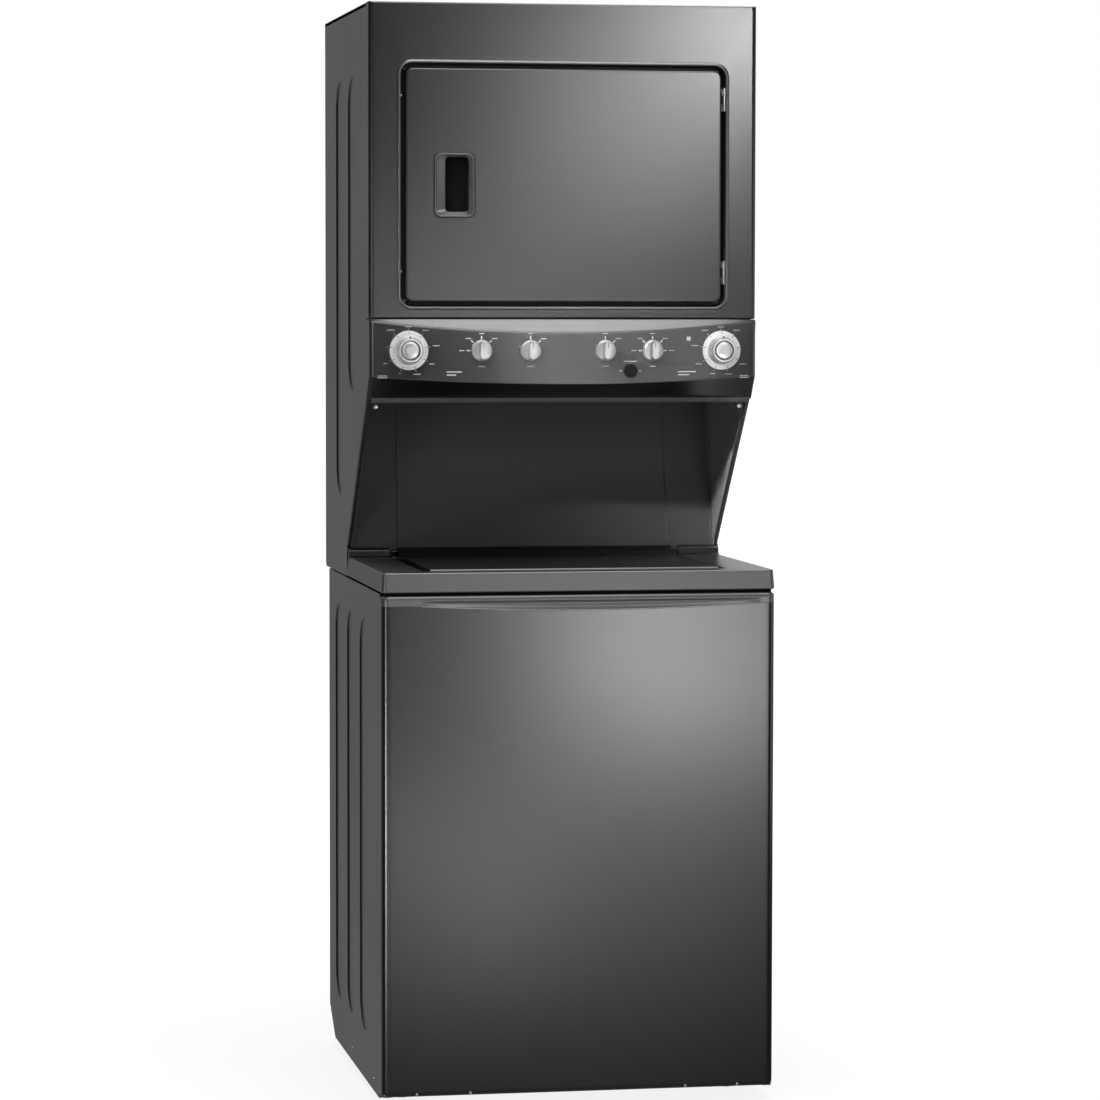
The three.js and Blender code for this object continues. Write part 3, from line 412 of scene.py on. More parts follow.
def moulded(name, colour, roughness, grain=700, depth=0.02, coat=0.0, gloss=0.5):
    """Moulded plastic with a fine spark-eroded grain."""
    shine = {"Coat_Weight": coat, "Coat_Roughness": 0.1, "Specular_IOR_Level": gloss}
    plastic = Surface(name, colour, 0.0, roughness, **shine)
    fine = plastic.noise(grain, 3)
    plastic.vary_colour(plastic.noise(6, 4), 0.9, 0.6)
    plastic.vary_roughness(fine, roughness - 0.04, roughness + 0.06)
    plastic.bump(fine, depth, 0.6)
    return plastic.worn_and_edge_lit(1.35)


def plated(name, colour, roughness, metallic):
    """Silver plating on plastic: smooth, with faint handling marks."""
    plating = Surface(name, colour, metallic, roughness, Coat_Weight=0.1, Coat_Roughness=0.1)
    plating.vary_colour(plating.noise(6, 3), 0.95, 0.5)
    plating.vary_roughness(plating.noise(40, 3), roughness - 0.02, roughness + 0.03)
    plating.bump(plating.noise(300, 2), 0.001, 0.3)
    return plating.worn_and_edge_lit(1.15, 0.3)


def cast(name, colour, roughness=0.55):
    """Sand-cast metal, pitted and a little stained."""
    metal = Surface(name, colour, 0.8, roughness)
    metal.vary_colour(metal.noise(18, 5), 0.6, 0.8)
    metal.vary_roughness(metal.noise(60, 4), roughness - 0.08, roughness + 0.15)
    metal.bump(metal.noise(230, 5), 0.25, 0.7)
    return metal.worn_and_edge_lit(1.5, 0.5)


PAINT = enamel("graphite enamel", 1.0, 0.235, 0.82, 0.12)
# A darker, duller copy of the graphite enamel for the recess under the console: painted shade.
SHADOWED = enamel("recess graphite, painted shade", 0.8, 0.5, 0.25, 0.0)
# A lighter copy of the graphite enamel for the recess cheeks: painted light.
LIT_CHEEK = enamel("lit cheek graphite, painted light", 2.6, 0.5, 0.25, 0.0)
# A much darker copy of the graphite enamel for walls in narrow gaps: painted shade.
GAP_SHADE_PAINT = enamel("gap graphite, painted shade", 0.3, 0.6, 0.1, 0.0)
# A lighter copy of the graphite enamel for faces and edges that catch the light: painted light and painted
# highlights.
LIT_GRAPHITE = enamel("lit graphite, painted light", 1.95, 0.36, 0.7, 0.2)
DECK_TOP = enamel("deck top graphite", 1.0, 0.34, 0.6, 0.1)
# A much darker copy of the graphite enamel for the console's underside: painted shade.
UNDERSIDE_SHADE = enamel("underside graphite, painted shade", 0.3, 0.2, 0.5, 0.2)
CONSOLE = enamel("console graphite", 1.25, 0.27, 0.7, 0.25)
CHROME = plated("bright silver plating", (0.62, 0.62, 0.62), 0.31, 0.88)
SKIRT = plated("satin silver plating", (0.8, 0.8, 0.8), 0.38, 0.45)
SATIN = plated("matt silver plating", (0.6, 0.6, 0.61), 0.36, 0.9)
BLACK = moulded("black moulding", (0.012, 0.012, 0.013), 0.34, 600, 0.02, 0.2)
BUTTON = moulded("black button", (0.005, 0.005, 0.005), 0.4, 600, 0.02, 0.0, 0.15)
# Near black put where only shade falls: painted shade.
SHADE_BLACK = moulded("painted shade black", (0.005, 0.005, 0.005), 0.8, 700, 0.02, 0.0, 0.05)
WHITE = moulded("white polypropylene", (0.7, 0.71, 0.72), 0.42, 300, 0.04)
ZINC = zinc()
STAINLESS = brushed("stainless steel", (0.62, 0.61, 0.6), 0.26, (1, 1, 30))
DRAWN = brushed("drawn aluminium duct", (0.66, 0.67, 0.68), 0.3, (30, 1, 30))
HINGE = brushed("plated hinge steel", (0.66, 0.66, 0.66), 0.26, (20, 20, 1))
CAST_IRON = cast("cast iron", (0.2, 0.2, 0.21))
CAST_ALUMINIUM = cast("cast aluminium", (0.5, 0.5, 0.51), 0.45)
RUBBER = moulded("rubber", (0.018, 0.018, 0.018), 0.72, 250, 0.05)
INK = moulded("white printing", (0.78, 0.79, 0.8), 0.5, 900, 0.004)
FELT = moulded("felt seal", (0.3, 0.28, 0.25), 0.95, 900, 0.3)

BODY = "cabinet"

# ---------------------------------------------------------------- washer casing
CORNER = 12  # the front panel's round vertical corners
BAND = 18  # height of the band that leans back along its top
CREASE_DIP = 8.5  # how far the grip's crease hangs below the band


def pan_path(b, inset, front_steps=110, returns=4):
    """A U-shaped plan: left return, left corner, front, right corner, right return."""
    half, front, back = b.x1 - inset, b.y0 + inset, b.y1
    r = max(CORNER - inset, 0.5)
    left = [(-half, lerp(back, front + r, i / returns)) for i in range(returns)]
    left += arc(-half + r, front + r, r, 180, 270)
    right = [(-x, y) for x, y in reversed(left)]
    middle = [(lerp(-half + r, half - r, i / front_steps), front) for i in range(1, front_steps)]
    return left + middle + right


def grip_share(x):
    """0 outside the smile-shaped grip, rising to 1 at its middle."""
    tip_left, tip_right = FRONT.x0 + 66, FRONT.x1 - 26
    middle, reach = (tip_left + tip_right) / 2, (tip_right - tip_left) / 2
    u = (x - middle) / reach
    return math.sqrt(1 - u * u) if abs(u) < 1 else 0.0


def front_section(b, x):
    """(z, set back) rows up the front panel at width x."""
    band_foot = b.z1 - BAND
    dip = grip_share(x)
    crease = band_foot - CREASE_DIP * dip * dip
    top = b.z1 - 4
    rim = lerp(crease + 9, b.z1 - 9.5, min(1, dip * 1.6))
    rows = [(lerp(b.z0 + 9, crease - 1.2, t / 24), 0.0) for t in range(25)]
    lean = lambda z: max(0.0, (z - band_foot) / BAND) * 0.9
    bead = 0.5 * min(1.0, dip * 3)
    rows += [(crease - 0.9, -0.5 * bead), (crease - 0.4, -bead), (crease, 0.1 - 0.4 * bead)]
    depth = 3.4 * min(1.0, dip * 1.8)
    for t in (0.05, 0.12, 0.22, 0.35, 0.5, 0.64, 0.76, 0.86, 0.93, 0.97, 1.0):
        z = lerp(crease, rim, t)
        scoop = math.sin(math.pi * t**1.8)
        rows.append((z, max(0.3, lean(z)) + depth * scoop))
    return rows + [(rim + 0.6, lean(rim) + 0.05), (top, lean(top))]


def washer_front():
    """Front panel: round vertical corners, a band that leans back along the top, and the
    smile-shaped grip pressed into it."""
    b = FRONT
    foot = [(20, 0), (9, 0), (3, 0), (1.7, 0.4), (0.7, 1.5), (0.4, 3), (0.4, 7.2), (0.1, 7.9)]
    rings = [on_z(pan_path(b, d), b.z0 + up) for d, up in foot]
    plan = pan_path(b, 0)
    sections = [front_section(b, x) for x, _ in plan]
    for row in range(len(sections[0])):
        ring = []
        for (x, y), rows in zip(plan, sections):
            z, back = rows[row]
            share = 1.0 if abs(x) < b.x1 - CORNER else 0.4
            if abs(x) >= b.x1 - 0.5:
                share = 0.0
            ring.append((x, y + back * share, z))
        rings.append(ring)
    head = [(3.3, 1.5), (4.5, 0.4), (6.5, 0), (12, 0), (24, 0)]
    rings += [on_z(pan_path(b, d), b.z1 - down) for d, down in head]
    f = Form()
    f.skin(rings, closed=False)
    shell = place("washer_front_shell", f, PAINT, BODY, ["washer_front_panel"], SHEET,
                  (0, -1, 0), 50)

    # The band along the top and the grip in it take the lighter graphite: a painted highlight where the band
    # leans back.
    def lit_band(at):
        share = grip_share(at.x)
        foot = b.z1 - BAND - CREASE_DIP * share**2 - (1.0 if share else 0.0)
        return at.y < b.y0 + CORNER and at.z > foot

    paint_where(shell, LIT_GRAPHITE, lit_band)


def side_panel(f, outline, ribs, x):
    """A flat side with pressed ribs, each with the same rounded step all round."""
    depth = 2.3
    wall = f.ring(on_x(outline, x))
    steps = [(0, 0), (0.4, 0.1), (0.8, 0.4), (1.6, depth - 0.4), (2.1, depth - 0.1), (2.8, depth)]
    holes = []
    for rib in ribs:
        r = (rib[1] - rib[0]) / 2
        first, last = f.skin(nest(rib, [(i, x - d, (r - i) * 0.999) for i, d in steps], on_x, 12))
        f.face(last)
        holes.append(first)
    f.fill(wall, *holes)


def screw(f, at, axis, r=4.2):
    """A pan-head screw with a cross recess: at is on the surface, axis points outwards."""
    turn = Vector((0, 0, 1)).rotation_difference(Vector(axis)).to_matrix()
    spot = lambda point: tuple(turn @ Vector(point) + Vector(at))
    head = soften([(r, 0), (r, 0.9), (r * 0.66, 1.9), (POLE, 2.1)], 0.7, 3)
    f.loft([[spot(p) for p in on_z(circle(0, 0, radius, 20), z)] for radius, z in head], False)
    corners = [(-2.0, -0.45), (2.0, -0.45), (2.0, 0.45), (-2.0, 0.45)]
    for spin in (0, 90):
        slot = Matrix.Rotation(math.radians(spin), 3, "Z")
        f.loft([[spot(slot @ Vector(p)) for p in on_z(corners, z)] for z in (1.7, 2.25)])


def washer_sides():
    """The wrap-round cabinet: two ribbed sides, a back with its ports, and hem folds."""
    b = cad("washer_cabinet")
    top, knee = b.z1, b.z0 + 52
    ribs = [(from_front(y0), from_front(y1), above(77), above(811))
            for y0, y1 in ((169, 288), (353, 457), (517, 620))]
    f = Form()
    r = 5
    corners = [(b.y0, b.z0 + 6), (b.y0 + 6, b.z0), (b.y1 - 83, b.z0), (b.y1 - r, knee),
               (b.y1 - r, top), (b.y0, top)]
    side_panel(f, soften(corners, 1.5, 3, closed=True), ribs, b.x1)
    # folds: rounded rear corner, front flange, bottom hem
    rear = [on_x([(b.y1 - r, knee), (b.y1 - r, top)], b.x1)]
    for px, py in arc(b.x1 - r, b.y1 - r, r, 0, 90, 6):
        rear.append([(px, py, knee + (py - b.y1 + r) * 0.6), (px, py, top)])
    f.skin(rear, closed=False)
    flange = [(0, 0), (0.6, 0.5), (1.5, 0.8), (22, 0.8)]
    f.skin([[(b.x1 - i, b.y0 - d, z) for z in (b.z0 + 8, top)] for i, d in flange], closed=False)
    hem = [(0, 0), (0.5, 0.8), (1.5, 1.2), (18, 1.2)]
    f.skin([[(b.x1 - i, y, b.z0 + 1.2 - d) for y in (b.y0 + 8, b.y1 - 84)] for i, d in hem], closed=False)
    f.mirrored()
    # back plate with the hose ports and the drain hole
    y = b.y1
    valve = cad("water_inlet_valve")
    back = f.ring(on_y([(b.x0 + r, knee + 3), (b.x1 - r, knee + 3), (b.x1 - r, top), (b.x0 + r, top)], y))
    window = f.ring(on_y(rounded(valve.x0 - 3, valve.x1 + 3, valve.cz - 18, valve.cz + 18, 4), y))
    rim = soften([(23, 0), (21, -1.5), (18, -2.4), (16, -1.5), (16, 2)], 0.8)
    port, _ = f.turn([(radius, y + d) for radius, d in rim], (b.x1 - 106, above(800)), "y", 48)
    panels = []
    for low, high in ((120, 420), (450, 740)):
        rows = [(i, y - d, 30 - i) for i, d in ((0, 0), (0.8, 0.3), (3, 2.7), (4, 3))]
        first, last = f.skin(nest((-250, 250, above(low), above(high)), rows, on_y))
        f.face(last)
        panels.append(first)
    f.fill(back, window, port, *panels)
    place("washer_cabinet_shell", f, PAINT, BODY, ["washer_cabinet"], SHEET, None, 40)


def washer_deck():
    """The deck: skirt, rolled top edge, sunk well with its mouth."""
    b = cad("washer_deck")
    lid = cad("washer_lid")
    top = b.z1 - 17
    corner, shoulder = 9, lid.y1
    narrow = b.x1 - 10.2

    def plan(inset, z):
        edge, r = b.x1 - inset, max(corner - inset, 0.5)
        points = arc(edge - r, b.y0 + inset + r, r, -90, 0)
        step = narrow - inset
        points += [(edge, shoulder - inset), (step, shoulder - inset), (step, b.y1 - inset)]
        return on_z(points + [(-x, y) for x, y in reversed(points)], z)

    f = Form()
    roll, tilt = 3.0, 2.4
    profile = [(10, b.z0), (2.4, b.z0), (1.4, b.z0 + 0.5), (0.5, b.z0 + 1.4), (0.1, b.z0 + 3)]
    profile += [(tilt, top - roll)]
    profile += [(tilt + roll - roll * math.cos(t), top - roll + roll * math.sin(t))
                for t in (math.radians(90 * i / 6) for i in range(1, 7))]
    _, rim = f.skin([plan(d, z) for d, z in profile])
    well = (lid.x0 - 2.2, lid.x1 + 2.2, lid.y0 - 2.2, b.y0 + 441.5)
    floor = top - 19
    walls = [(-1.5, top, 6), (-0.6, top - 0.3, 5.4), (0, top - 1.5, 5), (0, floor + 3, 5),
             (0.9, floor + 0.9, 4.5), (3, floor, 4)]
    mouth_edge, ledge = f.skin(nest(well, walls, on_z))
    f.fill(rim, mouth_edge)
    mouth = (-205, 205, b.y0 + 92, b.y0 + 425)
    lips = [(-4, floor, 62), (-2, floor + 0.8, 61), (-0.6, floor + 0.6, 60), (0, floor - 1, 60),
            (0, floor - 12, 60)]
    opening, _ = f.skin(nest(mouth, lips, on_z, 12))
    f.fill(ledge, opening)
    # The deck's skirt and well take the lighter graphite as painted light; its top keeps the plain graphite.
    shell = place("washer_deck_shell", f, LIT_GRAPHITE, BODY, ["washer_deck"], SHEET, (0, 0, 1), 40)
    paint_where(shell, DECK_TOP, lambda at: at.z > top - 0.5 and at.y > b.y0 + tilt + roll)


def deck_rail_and_ridges():
    """The rail behind the skirt, painted black as painted shade, and the ends of the lid's hinge roll."""
    b = cad("washer_deck")
    lid = cad("washer_lid")
    rail = Form()
    rail.block(b.x0 + 6, b.x1 - 6, b.y0 + 5.5, b.y0 + 7, b.z0 - 24, b.z0 + 16, 0.5)
    # The rail is painted near black: painted shade under the skirt.
    place("deck_front_rail", rail, SHADE_BLACK, BODY)
    r = 8
    y, z = lid.y1 - r, b.z1 - r
    start, foot = y - 20, b.z1 - 17.4
    swell = [math.radians(a) for a in (20, 45, 70)]
    section = [(start, foot)] + [(start + 11 * math.sin(t), foot + 4 - 4 * math.cos(t)) for t in swell]
    section += arc(y, z, r, 172, 0, 16) + [(y + r, foot)]
    ridge = Form()
    ridge.loft([on_x(section, lid.x1 + 4.2), on_x(section, b.x1 - 2)])
    ridge.mirrored()
    soft_edges(place("deck_hinge_ridges", ridge, PAINT, BODY, sharp=35), 1.4)


def washer_lid():
    """The lid: a pressed tray whose back edge rises into the hinge roll."""
    b = cad("washer_lid")
    half = b.x1 - 10.5
    roll = 8
    y, z = b.y1 - roll, b.z1 - roll
    wall = 1.3
    face = b.z1 - 14.2
    outer = [(b.y0, b.z0), (b.y0, face), (y - 30, face)]
    outer += [(y - 30 + 18 * t, face + 5.5 * t * t) for t in (0.35, 0.7, 1.0)]
    outer = soften(outer, 3.6, 6) + arc(y, z, roll, 150, -60, 16)
    inner = [(py + wall * 0.9, pz - wall) for py, pz in reversed(outer[:-17])]
    inner[-1] = (outer[0][0] + wall, outer[0][1])
    f = Form()
    section = outer + arc(y, z, roll - wall, -60, 150, 16) + inner
    f.loft([on_x(section, -half), on_x(section, half)])
    for side in (-1, 1):
        x0, x1 = sorted((side * half, side * (half - wall)))
        f.block(x0, x1, b.y0 + 2, y - 12, b.z0, face - 0.5, 0.4)
    f.lathe([(POLE, b.x0), (2.6, b.x0), (2.6, b.x1), (POLE, b.x1)], (y, z), "x", 24)
    lid = place("washer_lid_shell", f, PAINT, "washer_lid", ["washer_lid"], sharp=35)
    # The front roll takes the lighter graphite: a painted highlight along the lid's front edge.
    paint_where(lid, LIT_GRAPHITE, lambda at: at.y < b.y0 + 3.2 and at.z > face - 3.2)
    soft_edges(lid, 0.5, 2, 50)


washer_front()
washer_sides()
washer_deck()
deck_rail_and_ridges()
washer_lid()


# ---------------------------------------------------------------- dryer casing
def dryer_sides():
    """Side panels with two ribs, a rolled front edge and the sloping leg's flange."""
    b = cad("dryer_right_side")
    slope_top, slope_foot = (b.y0, above(1194)), (from_front(453), above(919.5))
    ribs = [(from_front(y0), from_front(y1), above(z0), above(1760))
            for y0, y1, z0 in ((323, 435, 1200), (495, 602, 1007))]
    along = (Vector(slope_foot) - Vector(slope_top)).normalized()
    out = Vector((along.y, -along.x))
    roll = 2.2
    inner = [Vector(p) - out * roll for p in (slope_top, slope_foot)]
    outline = [(b.y1, b.z0 + 4), (b.y1, b.z1), (b.y0, b.z1), tuple(inner[0]), tuple(inner[1]),
               (slope_foot[0] + 3, above(912)), (slope_foot[0] + 3, b.z0), (b.y1 - 6, b.z0)]
    leg = [(0.0, 0.0)]
    leg += [(roll * math.sin(t), roll - roll * math.cos(t)) for t in (0.4, 0.8, 1.2, math.pi / 2)]
    leg += [(roll, 6.5), (roll - 0.6, 7.2), (roll - 3, 7.4)]
    flange = [(0, 0), (0.5, 0.5), (1.4, 0.7), (20, 0.7)]
    hem = [(0, 0), (0.5, 0.6), (1.5, 0.8), (14, 0.8)]
    for name, side in (("left", -1), ("right", 1)):
        f = Form()
        side_panel(f, soften(outline, 1.5, 2, closed=True), ribs, b.x1)
        f.skin([[(b.x1 - i, *(p + out * ahead)) for p in inner] for ahead, i in leg], closed=False)
        f.skin([[(b.x1 - i, b.y0 - d, z) for z in (above(1335), b.z1 - 4)] for i, d in flange], closed=False)
        f.skin([[(b.x1 - i, y, b.z0 - d) for y in (slope_foot[0] + 6, b.y1 - 8)] for i, d in hem],
               closed=False)
        if side < 0:
            bmesh.ops.scale(f.bm, vec=(-1, 1, 1), verts=f.bm.verts)
        place(f"dryer_side_{name}", f, PAINT, BODY, [f"dryer_{name}_side"], SHEET,
              (side, 0, 0), 40)


def dryer_top():
    """The top sheet: rolled edges and a shallow pressed middle."""
    b = cad("dryer_top")
    f = Form()
    r, border = 2.5, 40
    edge = b[:4]
    rings = [on_z(inset_box(edge, 0, 2, 3), b.z1 - 7)]
    for k in range(7):
        t = math.radians(90 * k / 6)
        rings.append(on_z(inset_box(edge, r - r * math.cos(t), 4, 3), b.z1 - r + r * math.sin(t)))
    _, rim = f.skin(rings)
    middle = (b.x0 + border, b.x1 - border, b.y0 + border, b.y1 - border)
    step = [(i, b.z1 - d, 26 - i) for i, d in ((0, 0), (0.8, 0.2), (2.6, 1.3), (3.4, 1.5))]
    first, last = f.skin(nest(middle, step, on_z))
    f.fill(rim, first)
    f.face(last)
    place("dryer_top_panel", f, PAINT, BODY, ["dryer_top"], THIN_SHEET, (0, 0, 1), 40)


def door_frame():
    """The dryer's front panel: round vertical edges, and a beaded recess for the door."""
    b = cad("dryer_front_panel")
    door = cad("door_outer_panel")
    f = Form()
    side_r, edge_r = 9, 3.5
    rings = [on_y(rounded(b.x0, b.x1, b.z0, b.z1, 2.5, 3), b.y1)]
    for k in range(9):
        t = math.radians(90 * k / 8)
        ix, iz = side_r * (1 - math.cos(t)), edge_r * (1 - math.cos(t))
        rings.append(on_y(rounded(b.x0 + ix, b.x1 - ix, b.z0 + iz, b.z1 - iz, 2.5, 3),
                          b.y0 + side_r * (1 - math.sin(t))))
    _, face = f.skin(rings)
    pocket = (door.x0 - 7.5, door.x1 + 7.5, door.z0 - 7.5, door.z1 + 7.7)
    deep = 22
    bead = [(-6.6, 0), (-5.8, -0.3), (-4.8, -1.2), (-3.8, -2.0), (-2.8, -2.4), (-1.8, -2.3), (-0.9, -1.6),
            (-0.3, -0.4), (0, 1.2), (0.2, 3), (0.2, 18), (0.8, 20.6), (2.4, deep), (9.5, deep)]
    first, well = f.skin(nest(pocket, [(i, b.y0 + d, 20 - i) for i, d in bead], on_y, 12))
    f.fill(face, first)
    mouth = (-200, 200, door.z0 + 32.9, door.z1 - 31.3)
    lip = [(-3, deep, 73), (-1.2, 21.4, 71.2), (-0.3, 21.8, 70.3), (0, 23, 70), (0, 36, 70)]
    opening, _ = f.skin(nest(mouth, [(i, b.y0 + d, r) for i, d, r in lip], on_y, 14))
    catch = f.ring(on_y(rounded(-266, -254, door.z0 + 192.9, door.z0 + 212.9, 2, 3), b.y0 + deep))
    f.fill(well, opening, catch)
    shell = place("dryer_front_shell", f, PAINT, BODY, ["dryer_front_panel"], SHEET,
                  (0, -1, 0), 40)
    # The pocket's walls round the door take the dark gap paint: painted shade in the gap.
    paint_where(shell, GAP_SHADE_PAINT,
                lambda at: 1.5 < at.y - b.y0 and within(at, pocket, -2) and not within(at, pocket, 9))
    # The bead's crest takes the lighter graphite: a painted highlight round the door's recess.
    paint_where(shell, LIT_GRAPHITE, lambda at: at.y < b.y0 - 0.8)


def recess():
    """The formed panel behind the lid: leaning back with a pressed middle, cheeks, ceiling. Its graphite is a
    darker copy as painted shade, the cheeks' a lighter copy as painted light.
    """
    b = cad("recess_panel")
    low, high = above(900), above(1184)
    lean = (508 - 456.8) / (1173 - 905)
    face_at = lambda h: from_front(456.8) + (h - above(905)) * lean
    edge = b.x1
    step, corner = 3.2, 6
    slope_top, slope_foot = (from_front(208), high), (from_front(452), above(923.5))

    def front_at(h):
        """Where the cheek's front edge is: it follows the sloping leg."""
        t = max(0.0, (h - slope_foot[1]) / (slope_top[1] - slope_foot[1]))
        return lerp(slope_foot[0], slope_top[0], t)

    def row(h):
        crease = 251 - (h - low) / (high - low) * 4
        face = face_at(h)
        front = min(front_at(h), face - corner - 1)
        half = [(edge, front), (edge, lerp(front, face - corner, 0.5)), (edge, face - corner)]
        half += [(edge - corner + corner * math.cos(t), face - corner + corner * math.sin(t))
                 for t in (math.radians(90 * i / 5) for i in range(1, 6))]
        back = [(crease + 1.6, 0), (crease + 0.7, 0.25), (crease, 0.9), (crease - 1.6, step - 0.5),
                (crease - 2.6, step - 0.1), (crease - 4, step), (crease - 60, step + 0.6), (60, step + 1.2)]
        half += [(x, face + d) for x, d in back]
        return on_z(half + [(-x, y) for x, y in reversed(half)], h)

    f = Form()
    f.skin([row(lerp(low, high - 0.3, t / 16)) for t in range(17)], closed=False)
    ceiling = [(face_at(high) + step + 2, high), (b.y0 + 3, high), (b.y0 + 0.8, high + 0.6),
               (b.y0, high + 2.6), (b.y0, high + 14)]
    f.skin([[(lerp(edge, -edge, i / 8), y, z) for i in range(9)] for y, z in ceiling], closed=False)
    shell = place("recess_shell", f, SHADOWED, BODY, ["recess_panel"], 1.0, (0, -1, 0), 30)
    # The cheeks take the lighter copy: painted light on the faces that look sideways.
    paint_where(shell, LIT_CHEEK, lambda at: abs(at.x) > edge - 0.5 and at.z < high - 1)


def handle_cup(h):
    """(x0, x1, z0, z1) of the pocket in the door's handle."""
    return (h.x0 + 18.5, h.x1 - 9.3, h.z0 + 8.1, h.z1 - 6.0)


def door_panel():
    """The door's outer panel, with a groove round the handle and the handle's hole."""
    b = cad("door_outer_panel")
    h = cad("door_handle")
    edge, corner, r = (b.x0, b.x1, b.z0, b.z1), 14, 3.4
    rows = [(0.0, b.y1), (0.0, b.y0 + r + 2.2), (0.5, b.y0 + r + 1.6)]
    rows += [(0.6 + r - r * math.cos(t), b.y0 + r * (1 - math.sin(t)))
             for t in (math.radians(90 * k / 7) for k in range(8))]
    f = Form()
    _, face = f.skin([on_y(inset_box(edge, i, corner), y) for i, y in rows])
    plate, deep = (h.x0, h.x1, h.z0, h.z1), 2.4
    groove = [(-1.8, 0, 13), (-1.3, 0.25, 12.8), (-1.0, 0.8, 12.6), (-1.0, deep, 12.6)]
    rim, seat = f.skin(nest(plate, [(i, b.y0 + d, r) for i, d, r in groove], on_y))
    hole, = map(f.ring, nest(handle_cup(h), [(-2, b.y0 + deep, 8)], on_y))
    f.fill(face, rim)
    f.band(seat, hole)
    panel = place("door_outer_shell", f, PAINT, "dryer_door", ["door_outer_panel"], SHEET,
                  (0, -1, 0), 40)
    # The groove round the handle takes the dark gap paint: painted shade.
    paint_where(panel, GAP_SHADE_PAINT, lambda at: at.y > b.y0 + 0.6 and within(at, plate, -2))


def door_handle():
    """A plate with a raised rim that slopes into a finger pocket; the rim's crest is painted lighter as a
    painted highlight, the pocket's depth near black as painted shade.
    """
    b = cad("door_outer_panel")
    h = cad("door_handle")
    cup, proud = handle_cup(h), h.y0
    rim = [(0.0, b.y0 + 1.6, 12), (0.0, proud + 1.1, 12), (0.3, proud + 0.4, 12), (1.0, proud, 11.5),
           (1.9, proud - 0.1, 11), (2.8, proud + 0.15, 10.4), (3.6, proud + 0.6, 9.8),
           (4.4, proud + 0.8, 9.2)]
    g = Form()
    _, inner = g.skin(nest((h.x0, h.x1, h.z0, h.z1), rim, on_y))
    depth = h.y1 - proud
    slope = 2.4
    pocket = [(0, 0, 8), (0.7, 0.3, 7.5), (1.3, 1.2, 7), (1.6, 3, 7), (2.4, depth - 6, 6.5),
              (3.4, depth - 4.6, 6), (6, depth - 4, 5)]
    rings = nest(cup, [(i, proud + 0.8 + d, r) for i, d, r in pocket], on_y)
    mouth, floor = g.skin([[(x, y + slope * (cup[1] - x) / (cup[1] - cup[0]), z) for x, y, z in ring]
                           for ring in rings])
    g.band(inner, mouth)
    g.face(floor)
    handle = place("door_handle_shell", g, PAINT, "dryer_door", ["door_handle"], THIN_SHEET,
                   (0, -1, 0), 40)
    # The rim's crest takes the lighter graphite: a painted highlight.
    paint_where(handle, LIT_GRAPHITE, lambda at: at.y < proud + 0.1)
    # The pocket's deeper faces take near black: painted shade.
    paint_where(handle, SHADE_BLACK, lambda at: within(at, cup) and at.y > proud + 2.2 + slope * 0.5)


def hinges():
    """Two knuckle hinges in the right-hand gap: leaf and end knuckles stay, the middle one swings."""
    door = cad("door_outer_panel")
    r, end, clear = 1.9, 12, 0.4
    swing, tabs = Form(), Form()
    barrel = lambda f, z0, z1: f.lathe(
        soften([(POLE, z0), (r, z0), (r, z1), (POLE, z1)], 0.5, 3), (x, y), "z", 32)
    for spot in ("upper", "lower"):
        b = cad(f"door_hinge_{spot}")
        x, y = b.x0 + 2.5, b.y0 + 2.4
        f = Form()
        for z0, z1 in ((b.z0, b.z0 + end), (b.z1 - end, b.z1)):
            barrel(f, z0, z1)
            f.block(x + 0.4, x + 2, y, b.y1, z0, z1, 0.5)
        for z0, z1 in ((b.z0 - 0.9, b.z0 + 1), (b.z1 - 1, b.z1 + 0.9)):
            f.lathe(soften([(POLE, z0), (r, z0), (r, z1), (POLE, z1)], 0.4), (x, y), "z", 24)
        f.block(x - 2.5, x + 2, b.y1 - 1.6, b.y1, b.z0, b.z1, 0.6)
        place(f"door_hinge_{spot}_fine", f, HINGE, BODY, [f"door_hinge_{spot}"])
        z0, z1 = b.z0 + end + clear, b.z1 - end - clear
        barrel(swing, z0, z1)
        tabs.block(door.x1 + 0.5, x, y - 0.8, y + 0.8, z0, z1, 0.3)
        tabs.block(door.x1 + 0.5, door.x1 + 1.9, y - 0.8, door.y1 + 3, z0, z1, 0.3)
    place("door_hinge_knuckles", swing, HINGE, "dryer_door")
    # The door-side tabs take the dark gap paint: painted shade in the gap.
    place("door_hinge_tabs", tabs, GAP_SHADE_PAINT, "dryer_door")


dryer_sides()
dryer_top()
door_frame()
recess()
door_panel()
door_handle()
hinges()


# ---------------------------------------------------------------- console
class Bow:
    """The bezel's face: it bows forward in the middle and is vertical between band and hem."""

    def __init__(self):
        b = cad("console_bezel")
        self.box = b
        self.half = 343.0
        self.depth = 37.0
        self.ends = b.y0 + self.depth
        self.top = b.z1

    def at(self, x):
        return max(0.0, 1 - (x / self.half) ** 2)

    def face(self, x):
        return self.ends - self.depth * self.at(x)

    def band(self, x):
        return self.top - 20 * self.at(x)

    def hem(self, x):
        return self.top - 99 - 13 * self.at(x)


bow = Bow()
DIAL_X = cad("washer_cycle_dial").cx
CONTROL_Z = cad("washer_cycle_dial").cz
SELECTORS = {
    name: cad(name)
    for name in ("dryer_heat_knob", "dryer_signal_knob", "washer_softener_knob", "washer_temperature_knob")
}
PUSH = cad("extra_rinse_button")


